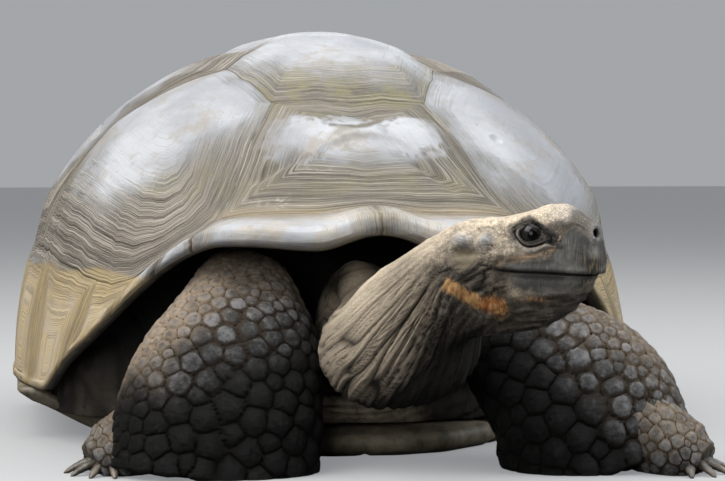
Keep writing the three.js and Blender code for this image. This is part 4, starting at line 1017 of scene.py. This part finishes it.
# Neck folds: noise that runs fast across a strand coordinate. The strands fan out down the neck from
# a point over the jaw, and close to the shell they hang round the neck in rings. The swells are the
# collar's roll, the notch beside it, the dip behind it and the hollow flank: height, then middle and
# width in millimetres along the neck and in radians around it.
neckFolds = {
    "source": (235.0, 372.0), "turn": 9.0, "collar": 108.0,
    "swells": ((14.0, 108, 18, 0.95, 0.50), (-27.0, 123, 60, 1.95, 0.62), (-14.0, 215, 48, 0.95, 0.55),
               (-20.0, 108, 42, 0.30, 0.36)),
    "folds": ((11.5, 190.0, 4.4), (5.2, 120.0, 3.6), (2.6, 80.0, 2.0)),
}


# Each size of fold is a crease of noise, and the crests between the creases swell. The creases also put out
# painted shade.
def neckRelief(points, run, angle, headness):
    f = neckFolds
    turn = np.radians(f["turn"])
    across = points[..., 0] * np.sin(turn) + points[..., 1] * np.cos(turn) - f["source"][0]
    up = points[..., 2] - f["source"][1]
    warp = noise(points / 50.0, 21)
    far = np.hypot(across, up)
    fan = np.arctan2(-up, -across) * 270 - 240 + 3 * warp
    nape = np.abs(angle - np.pi / 2) * 80.0
    near = run + 5 * warp + 0.06 * nape
    hanging = fall(near, 50, 95) * (1 - headness)
    strand = fan * (1 - hanging) + (near - 130) * hanging
    along = far * (1 - hanging) + nape * hanging
    lift, creaseShade = np.zeros(far.shape), np.zeros(far.shape)
    for i, (pitch, length, height) in enumerate(f["folds"]):
        fold = np.abs(noise(stacked(strand / pitch, along / length, points[..., 0] / 400), 71 + i))
        lift += height * (0.70 - np.exp(-fold * 8.5)) * (1 - 0.7 * hanging * (i == 2))
        creaseShade = np.maximum(creaseShade, np.exp(-fold * 11.0) * (1.2, 1.1, 0.85)[i])
    return lift, creaseShade, strand


# Neck rings and head rings follow one another, blended over some rows, and take the relief of both.
def makeHeadAndNeck():
    cols = headColumns(300)
    t = np.concatenate([np.linspace(0.05, 0.14, 4), np.linspace(0.15, 0.93, 168)])[:, None]
    turn, along = np.broadcast_arrays(cols[None], t)
    neck = limbThrough(neckStations, (0.15, 0.1, 1.0), 2.1)(turn, along)
    cap = np.linspace(1, 0.03, 27) * np.pi / 2
    back = np.concatenate([np.linspace(231, 125, 60), np.linspace(123.6, 14, 72), np.linspace(12.8, 0.4, 10)])
    scale = np.concatenate([np.ones(len(back)), np.sin(cap) ** 0.42])[:, None]
    d = np.concatenate([back, -face["noseBulge"] * np.cos(cap)])[:, None] + 0 * cols
    s, k = headSection(cols + 0 * d, np.maximum(d, 0))
    core = np.interp(d, [-10, 20, 60], [face["noseCore"], -27, -40])
    k = core + (k - core) * scale
    head = headPoint(d + face["noseBack"] * fade(k, -38, -8) * fall(d, -2, 24), s * scale, k)
    blendRows = 46
    weight = fade(np.linspace(0, 1, blendRows), 0, 1)[:, None]
    joined = neck[-blendRows:] * (1 - weight[..., None]) + head[:blendRows] * weight[..., None]
    points = np.concatenate([neck[:-blendRows], joined, head[blendRows:]])
    plain = np.zeros(len(neck) - blendRows), np.ones(len(head) - blendRows)
    headness = np.concatenate([plain[0], weight[:, 0], plain[1]])[:, None]
    away = points - np.array(face["nostrils"])
    lift, fields, holeShade = faceRelief(-away @ noseWay, away @ leftWay, away[..., 2], points)
    run = np.concatenate([[0], np.cumsum(np.linalg.norm(np.diff(points.mean(1), axis=0), axis=-1))])[:, None]
    angle = (cols * 2 * np.pi)[None]
    folds, dark, strand = neckRelief(points, run, angle, headness)
    jawward = fade(-away @ noseWay, 128, 176) * (1 - 0.75 * fade(away[..., 2], -70, -38))
    loose = (1 - headness + headness * jawward) * fade(run, 10, 50)
    throat = fade(-np.sin(angle), -0.55, 0.5)
    loose = loose * (0.5 + 0.5 * throat)
    lift = lift * np.clip(headness * 1.2, 0, 1) + loose * folds
    lift += (1 - headness) * bumps(run, angle, neckFolds["swells"])
    points = points + gridNormals(points) * lift[..., None]
    inward = -0.75 * noseWay - 0.66 * np.sign(away @ leftWay)[..., None] * leftWay
    points = points + inward * (face["nostrilDepth"] * holeShade * headness)[..., None]
    onFace = headness * (1 - jawward)
    for key in skinFields:
        fields[key] = fields[key] * headness
    fields["creaseShade"] = np.clip(fields["creaseShade"] * (1 - 0.7 * loose) + loose * dark, 0, 1)
    fields["strand"] = fields["strand"] * onFace + strand * (1 - onFace)
    fields["loose"] = np.clip(fields["loose"] + loose, 0, 1)
    # Painted light and shade over the dust: lighter on the lit side toward -y, on the top and on the collar
    # under the shell's rim, and darker low down, away from the light.
    low = fade(258 - points[..., 2], 0, 115)
    lit = fade(np.interp(points[..., 0], [430, 600, 760], [-5, -15, 55]) - points[..., 1], -30, 60)
    collar = bell(run, neckFolds["collar"], 30) * bell(angle, 0.95, 0.6)
    upper = 0.45 * fade(np.sin(angle), 0.1, 0.8) + 0.6 * collar
    dustyAndLit = 1.15 + 0.5 * lit - 1.35 * low * (1 - 0.5 * lit) + upper
    fields["dustyAndLit"] = np.clip(fields["dustyAndLit"] + (1 - headness) * dustyAndLit, 0, 1.5)
    shade = low * (1 - lit) * np.maximum(1 - headness, jawward)
    x, y, z = points[..., 0], points[..., 1], points[..., 2]
    # Painted shadow in the pocket beside the neck's right root, under the shell.
    shadedPocket = (1 - headness) * fall(x, 500, 560) * fall(y, -42, -14) * fade(z, 200, 235)
    fields["creaseShade"] = np.clip(fields["creaseShade"] + 1.3 * shade + 0.9 * shadedPocket, 0, 1)
    fields["pebbled"] = np.clip(fields["pebbled"] + (1 - headness) * 0.25, 0, 1)
    finish(gridMesh("headAndNeckSkin", points, fields), looseSkin, "skin", "head", "neck")


makeHeadAndNeck()
print("head and neck made")

eyeTone = {"pupil": (0.001, 0.001, 0.001), "iris": (0.006, 0.005, 0.005), "irisLight": (0.014, 0.013, 0.012),
           "white": (0.005, 0.005, 0.005), "pupilEdge": 0.36, "irisEdge": 0.80}


# A dark wet ball. Its iris field is the angle from the line of sight.
def eyeMaterial():
    t = eyeTone
    material, tree, shader = newMaterial("wetEye", 0.08, 0.11)
    angle = field(tree, "iris")
    grain = spread(noiseOf(objectPlace(tree), 300.0, 3.0), 0.35, 0.65)
    iris = mixed(grain, t["iris"], t["irisLight"])
    colour = mixed(spread(angle, t["pupilEdge"] - 0.03, t["pupilEdge"] + 0.03), t["pupil"], iris)
    colour = mixed(spread(angle, t["irisEdge"] - 0.05, t["irisEdge"] + 0.05), colour, t["white"])
    drive(shader, "Base Color", colour)
    return material


wetEye = eyeMaterial()


# A ball round the line of sight, which points ahead and aside, with the cornea a little swollen.
def makeEye(name, way, cadNode):
    back, out, up = face["eye"]
    centre = headPoint(back, way * out, up)
    v = np.linspace(0.02, 0.98, 40)[:, None] * np.pi
    u = np.linspace(0, 2 * np.pi, 56, endpoint=False)[None]
    ahead, aside = face["gaze"]
    look = leftWay * way * aside + noseWay * ahead
    look /= np.linalg.norm(look)
    aside = np.cross(look, [0, 0, 1.0])
    ring = np.cos(u)[..., None] * aside + np.sin(u)[..., None] * np.cross(aside, look)
    unit = np.cos(v)[..., None] * look + np.sin(v)[..., None] * ring
    swell = 1 + 0.035 * np.exp(-((v / 0.5) ** 2))
    points = centre + unit * (face["eyeRadius"] * swell)[..., None]
    finish(gridMesh(name, points, {"iris": v + 0 * u}), wetEye, "eye", cadNode)


makeEye("eyeLeftBall", 1, "eye_left")
makeEye("eyeRightBall", -1, "eye_right")

# Horny leg scales: dark grey tops, brown sides, nearly black gaps, reddish dust near the shell that also
# stands for light, and painted shade, nearly black, low down.
scaleTone = {
    "top": (0.055, 0.054, 0.053), "topLight": (0.235, 0.238, 0.245), "side": (0.050, 0.038, 0.028),
    "gap": (0.004, 0.003, 0.0025), "dustAndLight": (0.480, 0.375, 0.270), "lowShade": (0.0040, 0.0038, 0.0035),
}


def scaleMaterial():
    t = scaleTone
    material, tree, shader = newMaterial("legScales", 0.5, 0.11)
    where = objectPlace(tree)
    edge, wild, dome, dustAndLight, lowShade = (field(tree, k) for k in ("edge", "plate", "dome", "dustyAndLit", "lowShade"))
    mottled = noiseOf(where, 85.0, 6.0, 0.72)
    top = mixed(spread(wild * 0.16 + mottled, 0.45, 0.82), t["top"], t["topLight"])
    worn = dome + (mottled - 0.5) * 0.6
    colour = mixed(spread(worn, 0.10, 0.40), t["side"], top)
    dirt = grouped(tree, dryDust, Scale=60.0, Low=0.34, High=0.62)[0]
    # Dust that also stands for light, then painted shade low down, then the dark gaps.
    dustyAndLit = dustAndLight * (0.4 + dirt * 0.5) * spread(worn, 1.1, 0.35, 0.4, 1.0)
    for mask, tone in ((dustyAndLit, "dustAndLight"), (lowShade, "lowShade"), (spread(edge, 0.13, 0.02), "gap")):
        colour = mixed(mask, colour, t[tone])
    drive(shader, "Base Color", colour)
    drive(shader, "Roughness", spread(worn, 0.3, 0.9, 0.66, 0.44))
    rings = noiseOf(where, 30.0, 3.0, 0.6, dome * 9.0 + wild * 20.0)
    bumpInto(shader, rings * 0.7 + noiseOf(where, 150.0, 8.0, 0.78) * 2.0, 0.0042, 1.0)
    return material


legScales = scaleMaterial()


# Scatter plate centres over sample points: none nearer than the plates' sizes allow. Small ones
# then fill the corners that are left.
def scatterPlates(samples, radius, seed, filler):
    rng = np.random.default_rng(seed)
    centres, sizes = np.zeros((0, 3)), np.zeros(0)
    for size, tight in ((radius, 0.94), (filler * radius, 0.90)):
        for i in rng.permutation(len(samples)):
            p, r = samples[i], size[i]
            if len(centres) and (np.sqrt(((centres - p) ** 2).sum(1)) < tight * (sizes + r)).any():
                continue
            centres = np.concatenate([centres, p[None]])
            sizes = np.append(sizes, r)
    return centres, sizes


# The nearest and second nearest plate of every point, distances measured in plate sizes.
def nearestPlates(points, centres, sizes):
    flat = points.reshape(-1, 3).astype(np.float32)
    nearest, first, second = [], [], []
    for part in np.array_split(flat, max(1, len(flat) // 6000)):
        gaps = np.sqrt(((part[:, None] - centres[None].astype(np.float32)) ** 2).sum(-1)) / sizes[None]
        index = np.argpartition(gaps, 1, axis=1)[:, :2]
        pair = np.take_along_axis(gaps, index, 1)
        nearest.append(np.where(pair[:, 0] > pair[:, 1], index[:, 1], index[:, 0]))
        first.append(pair.min(1))
        second.append(pair.max(1))
    return [np.concatenate(a).reshape(points.shape[:-1]) for a in (nearest, first, second)]


# A plated limb: a smooth grid, its plates as low domes that meet in narrow grooves, its sole flat.
# The plates' centres are moved to the middle of their cells five times, which evens them out.
def platedLimb(name, points, radiusOf, height, seed, dustLightAndShadeOf, nodes, flatness=0.5, extra=None):
    normal = gridNormals(points)
    if extra is not None:
        points = points + normal * extra(points)[..., None]
    step = points[::2, ::2]
    samples = step.reshape(-1, 3)
    centres, sizes = scatterPlates(samples, radiusOf(samples), seed, 0.76)
    for _ in range(5):
        index = nearestPlates(step, centres, sizes)[0].ravel()
        count = np.bincount(index, minlength=len(centres))[:, None]
        mean = np.stack([np.bincount(index, samples[:, i], len(centres)) for i in range(3)], -1)
        centres = np.where(count > 0, mean / np.maximum(count, 1), centres)
    wobble = points + 0.8 * np.stack([noise(points / 7.0, 5 + i) for i in range(3)], -1)
    index, first, second = nearestPlates(wobble, centres, sizes)
    own = sizes[index]
    edge = (second - first) * np.minimum(own / 12.0, 1.3)
    wild = np.random.default_rng(seed + 1).random(len(centres))[index]
    tall = height * np.clip(own / 12.0, 0.35, 1.3)
    dome = 1 - np.clip(first, 0, 1.3) ** 2 * 0.6
    lift = tall * (fade(edge, 0.0, 0.21) * (flatness + (1 - flatness) * dome) - 0.35)
    lift += (wild - 0.5) * 0.8 + 0.5 * noise(points / 4.0, seed) * fade(edge, 0.05, 0.3)
    points = points + normal * lift[..., None]
    points[..., 2] = np.maximum(points[..., 2], 0.4)
    dustAndLight, lowShade = dustLightAndShadeOf(points)
    fields = {"edge": edge, "plate": wild, "dome": np.clip(1.2 - first, 0, 1) * fade(edge, 0.05, 0.3),
              "dustyAndLit": dustAndLight + 0 * first, "lowShade": lowShade + 0 * first}
    finish(gridMesh(name, points, fields), legScales, "scales", *nodes)


# A sole: the last ring of a limb drawn in to its middle.
def withSole(grid, steps=8):
    middle = grid[-1].mean(0)
    share = np.linspace(1, 0.05, steps)[1:, None, None]
    return np.concatenate([grid, middle + (grid[-1][None] - middle) * share])


# Stations of a limb: x, y, z and its two half sizes, from inside the shell down to the ground.
# The sizes of the plates go by height.
foreleg = {
    "right": [(270, -160, 165, 66, 66), (380, -160, 205, 64, 62), (462, -165, 214, 70, 62),
              (530, -179, 158, 108, 75), (570, -204, 82, 130, 82), (584, -220, -12, 134, 84)],
    "left": [(270, 165, 165, 66, 66), (380, 175, 205, 62, 62), (456, 188, 210, 62, 62),
             (530, 209, 150, 88, 74), (593, 266, 80, 122, 84), (618, 296, -12, 124, 80)],
    "levels": [20, 90, 150, 215, 255, 290], "rightSizes": [16.0, 15.5, 13.0, 10.5, 7.5, 6.0],
    "leftSizes": [16.5, 16.5, 15.0, 12.5, 9.0, 7.0], "height": 6.0,
}
forefoot = {
    "right": {"path": [(545, -250, 78, 46, 52), (556, -300, 46, 46, 48), (566, -344, 16, 50, 44),
                       (573, -368, 8, 34, 30)], "heading": (0.5, -0.86, 0)},
    "left": {"path": [(612, 300, 78, 48, 52), (648, 346, 46, 47, 48), (676, 384, 16, 50, 44),
                      (690, 404, 8, 34, 30)], "heading": (0.62, 0.78, 0)},
}


# A leg and its foot. Plates are smaller on the outer edge. Dust, partly painted light, lies high up, and
# painted shade lies low down and on the side toward the neck.
def makeForeleg(name, seed):
    outward = -1 if name == "right" else 1

    def radius(p):
        edge = np.interp(p[..., 2], [0, 250], [outward * 300, outward * 215])
        outer = fade(outward * (p[..., 1] - edge), 0, 50)
        level = p[..., 2] + 14 * noise(p / 30.0, 4)
        return np.interp(level, foreleg["levels"], foreleg[name + "Sizes"]) * (1 - 0.36 * outer)

    def footRadius(p):
        return 8.5 + 3 * noise(p / 25.0, 14)
    # Dust higher up the foot, partly painted light, and painted shade near the ground.

    def footDustLightAndShade(p):
        return 0.48 * fade(p[..., 2], 5, 60), 0.25 * fall(p[..., 2], 0, 50)

    # Dust that also stands for light high up and on the outer side, and painted shade low down and on the
    # inner side.
    def dustAndLight(p):
        y, z = p[..., 1], p[..., 2] + 14 * noise(p / 40.0, 6)
        if name == "right":
            high = np.maximum(fade(-y - 221 - 0.97 * (265 - z), -95, -5), 0.6 * fade(z, 205, 255))
            shadeBelow = fade(188 - z + 0.35 * np.maximum(y + 195, -90), -20, 80)
        else:
            high = 0.62 * fade(z + 0.62 * (y - 200), 175, 285)
            shadeBelow = fade(168 - z - 1.3 * np.maximum(y - 235, -40), -30, 85)
        return np.clip(high, 0, 1), 0.97 * shadeBelow

    grid = sweep(limbThrough(foreleg[name], (1.0, 0.0, 0.25), 2.4), 0.22, 1.0, 260, 340)
    platedLimb(f"foreleg{name.title()}Skin", withSole(grid), radius, foreleg["height"], seed, dustAndLight,
               [f"foreleg_{name}"], 0.42 if name == "right" else 0.55)
    foot = sweep(limbThrough(forefoot[name]["path"], (0.5, 0.0, 1.0), 2.3), 0.0, 1.0, 120, 210)
    platedLimb(f"forefoot{name.title()}Skin", withSole(foot, 6), footRadius, 3.2, seed + 10, footDustLightAndShade, [])


makeForeleg("right", 5)
makeForeleg("left", 8)
print("forelegs made")


hindleg = {
    "left": [(-230, 210, 150, 78, 78), (-300, 245, 120, 80, 75), (-350, 270, 75, 76, 70),
             (-375, 285, 30, 76, 74), (-380, 288, -24, 82, 80)],
    "levels": [10, 80, 160], "sizes": [13.5, 11.5, 8],
}


# A hind leg: the left one's stations, mirrored for the right one. Painted shade darkens it near the ground.
def makeHindleg(name, side):
    stations = [(x, side * y, *rest) for x, y, *rest in hindleg["left"]]
    grid = sweep(limbThrough(stations, (1.0, side * 0.3, 0.2), 2.2), 0.12, 1.0, 150, 220)
    platedLimb(f"hindleg{name.title()}Skin", withSole(grid),
               lambda p: np.interp(p[..., 2], hindleg["levels"], hindleg["sizes"]), 3.6, 25 + side,
               lambda p: (0.3, 0.4 * fall(p[..., 2], 0, 60)), [f"hindleg_{name}"])


makeHindleg("right", -1)
makeHindleg("left", 1)

tail = {
    "path": [(-400, 0, 98, 40, 30), (-470, 4, 84, 34, 26), (-530, 16, 62, 25, 20), (-566, 40, 44, 15, 13),
             (-580, 62, 36, 8, 7)],
    "scales": ([-580, -420], [4.0, 8.5]),
}


def makeTail():  # a limb that narrows to its tip
    grid = sweep(limbThrough(tail["path"], (0.0, 0.0, 1.0), 2.0), 0.02, 0.995, 150, 130)
    middle = grid.mean(1, keepdims=True)
    taper = np.clip((1 - np.linspace(0.02, 0.995, 150)) * 9, 0.08, 1) ** 0.5
    grid = middle + (grid - middle) * taper[:, None, None]
    platedLimb("tailSkin", grid, lambda p: np.interp(p[..., 0], *tail["scales"]), 2.0, 33,
               lambda p: (0.35, 0.0), ["tail"])


makeTail()
print("hind legs and tail made")

# Body inside the shell: an upright drum of folded skin, painted nearly black as shade but for the low front
# of the chest. Its chest swells forward, low down.
body = {
    "front": 388.0, "rear": 448.0, "half": 430.0, "low": 40.0, "high": 330.0,
    "chest": (62.0, 40.0, 70.0, 175.0), "fold": 9.0, "fineFold": 3.0,
}


def makeBody():
    u = np.linspace(0, 2 * np.pi, 380, endpoint=False)[None]
    z = np.linspace(body["low"], body["high"], 110)[:, None]
    x = np.where(np.cos(u) > 0, body["front"], body["rear"]) * signedPower(np.cos(u), 0.55)
    y = body["half"] * signedPower(np.sin(u), 0.7) * (1 - 0.12 * fade(z, 180, 340))
    level, tall, forward, wide = body["chest"]
    x = x + forward * bell(z, level, tall) * bell(y, 0, wide) * (x > 0)
    points = stacked(x, y, z)
    x, y, z = points[..., 0], points[..., 1], points[..., 2]
    q = stacked(x / 60, y / 34, z / 80 + 0.6 * noise(points / 70.0, 3))
    front = fade(x, 340, 400)
    sweepUp = np.abs(noise(stacked((z - 0.0016 * y**2) / 15, y / 120, 0), 93))
    fold, fine = np.abs(noise(q, 91)), np.abs(noise(q * 2.4, 92))
    fold = fold * (1 - front) + sweepUp * front
    move = -1.0 - body["fold"] * np.exp(-fold * 7) - body["fineFold"] * np.exp(-fine * 7)
    points = points + gridNormals(points) * move[..., None]
    y, z = np.abs(points[..., 1]), points[..., 2]
    # Painted shade: nearly black but for the low front of the chest, darker still in the folds.
    dark = 0.85 - 0.75 * front * bell(z, 60, 42) * fall(y, 60, 130)
    fields = {key: 0 * move for key in skinFields}
    fields["creaseShade"] = np.clip(dark + 0.6 * np.exp(-fold * 7) + 0.3 * np.exp(-fine * 7), 0, 1)
    fields["dustyAndLit"] = 0.15 + 0.6 * front * fall(z, 70, 100) * fall(y, 60, 110)
    fields["holeShade"] = 0.9 * fade(z, 95, 150)
    finish(gridMesh("bodySkin", points, fields), looseSkin, "skin", "torso")


makeBody()


# Claw: a round section along a short arc, tapering to a blunt tip and drooping.
def clawPoints(root, reach, length, width):
    forward = np.array(reach, float) / np.linalg.norm(reach)
    side = np.cross(forward, [0, 0, 1.0])
    side /= np.linalg.norm(side)
    v = np.linspace(0.03, 0.985, 26)[:, None]
    angle = np.linspace(0, 2 * np.pi, 28, endpoint=False)[None]
    taper = np.sqrt(1 - v**2.2) * (1 + 0.03 * np.sin(v * 40)) * np.minimum(1, (v * 8) ** 0.5)
    along = (-0.25 + 1.25 * v) * length + 0 * angle
    rise = np.sin(angle) * width * 0.4 * taper - 0.28 * length * v * v
    out = np.cos(angle) * width / 2 * taper
    upward = np.cross(side, forward)
    return np.array(root) + along[..., None] * forward + out[..., None] * side + rise[..., None] * upward


# Claws in a fan of so many degrees about the foot's heading.
def makeClaws(label, cadNode, centre, heading, count, fan, radius, length, width):
    for k in range(count):
        angle = np.radians(fan * (k / (count - 1) - 0.5))
        c, s = np.cos(angle), np.sin(angle)
        way = np.array([heading[0] * c - heading[1] * s, heading[0] * s + heading[1] * c, 0])
        way /= np.linalg.norm(way)
        points = clawPoints(np.array(centre) + way * radius, way + [0, 0, -0.12], length, width)
        finish(gridMesh(f"{label}{k + 1}", points), clawHorn, "claw", f"{cadNode}_{k + 1}")


for name, side in (("right", -1), ("left", 1)):
    tip = forefoot[name]["path"][2]
    makeClaws(f"clawFore{name.title()}", f"claw_foreleg_{name}", (tip[0], tip[1], 15),
              forefoot[name]["heading"], 5, 120, 27, 38, 15)
    makeClaws(f"clawHind{name.title()}", f"claw_hindleg_{name}", (-380, side * 288, 15),
              (-0.35, side * 1.0, 0), 4, 104, 63, 38, 18)
print("body and claws made")

# Metres. The camera stands at a distance, turned off the front, aside of the middle and at a height.
studio = {
    "lens": 108.05, "from": (3.4, 9.0, 0.070, 0.40), "pitch": 2.09, "sky": 0.10, "backdrop": 0.42,
    "floorTone": 0.16, "floorBounce": 0.08, "floorGlow": 0.26,
    "lights": (("keyLight", (1.1, -2.6, 3.5), (0.2, 0, 0.25), 3.2, 380.0, (1, 0.985, 0.96)),
               ("overLight", (0.0, 1.1, 4.7), (0.1, 0, 0.3), 5.0, 370.0, (0.96, 0.98, 1)),
               ("sideLight", (1.0, 3.8, 2.4), (0.1, 0.3, 0.3), 2.6, 175.0, (0.97, 0.99, 1)),
               ("fillLight", (3.9, -1.9, 1.5), (0.4, 0, 0.22), 2.2, 100.0, (1, 0.98, 0.95))),
}


# A pale floor that glows only for the camera, a soft sky, four area lights and the camera.
def makeStudio():
    floor = bpy.data.meshes.new("studioFloor")
    floor.from_pydata([(-30, -30, 0), (30, -30, 0), (30, 30, 0), (-30, 30, 0)], [], [(0, 1, 2, 3)])
    ground = bpy.data.objects.new("studioFloor", floor)
    bpy.context.scene.collection.objects.link(ground)
    material, tree, shader = newMaterial("paleFloor", 0.9, 0.1)
    seen = node(tree, "LightPath", None, "Is Camera Ray")
    drive(shader, "Base Color", mixed(seen, (studio["floorBounce"],) * 3, (studio["floorTone"],) * 3))
    shader.inputs["Emission Color"].default_value = (0.9, 0.93, 0.97, 1)
    drive(shader, "Emission Strength", seen * studio["floorGlow"])
    floor.materials.append(material)
    world = bpy.data.worlds.new("softSky")
    world.use_nodes = True
    background = world.node_tree.nodes["Background"]
    background.inputs[0].default_value = (0.88, 0.91, 0.95, 1)
    seen = node(world.node_tree, "LightPath", None, "Is Camera Ray")
    drive(background, "Strength", spread(seen, 0.0, 1.0, studio["sky"], studio["backdrop"]))
    bpy.context.scene.view_settings.view_transform = "Standard"
    bpy.context.scene.world = world
    for name, spot, aim, size, power, tint in studio["lights"]:
        data = bpy.data.lights.new(name, "AREA")
        data.size = size
        data.energy = power
        data.color = tint
        lamp = bpy.data.objects.new(name, data)
        lamp.location = spot
        lamp.rotation_euler = (Vector(aim) - Vector(spot)).to_track_quat("-Z", "Y").to_euler()
        bpy.context.scene.collection.objects.link(lamp)
    away, turn, aside, high = studio["from"]
    psi, pitch = np.radians(turn), np.radians(studio["pitch"])
    toCamera = np.array([np.cos(psi), -np.sin(psi), 0])
    right = np.array([np.sin(psi), np.cos(psi), 0])
    data = bpy.data.cameras.new("photoCamera")
    data.lens = studio["lens"]
    data.sensor_width = 36.0
    camera = bpy.data.objects.new("photoCamera", data)
    camera.location = Vector(away * toCamera + aside * right + np.array([0, 0, high]))
    look = -toCamera * np.cos(pitch) - np.array([0, 0, np.sin(pitch)])
    camera.rotation_euler = Vector(look).to_track_quat("-Z", "Y").to_euler()
    bpy.context.scene.collection.objects.link(camera)
    bpy.context.scene.camera = camera


makeStudio()
print("studio made")
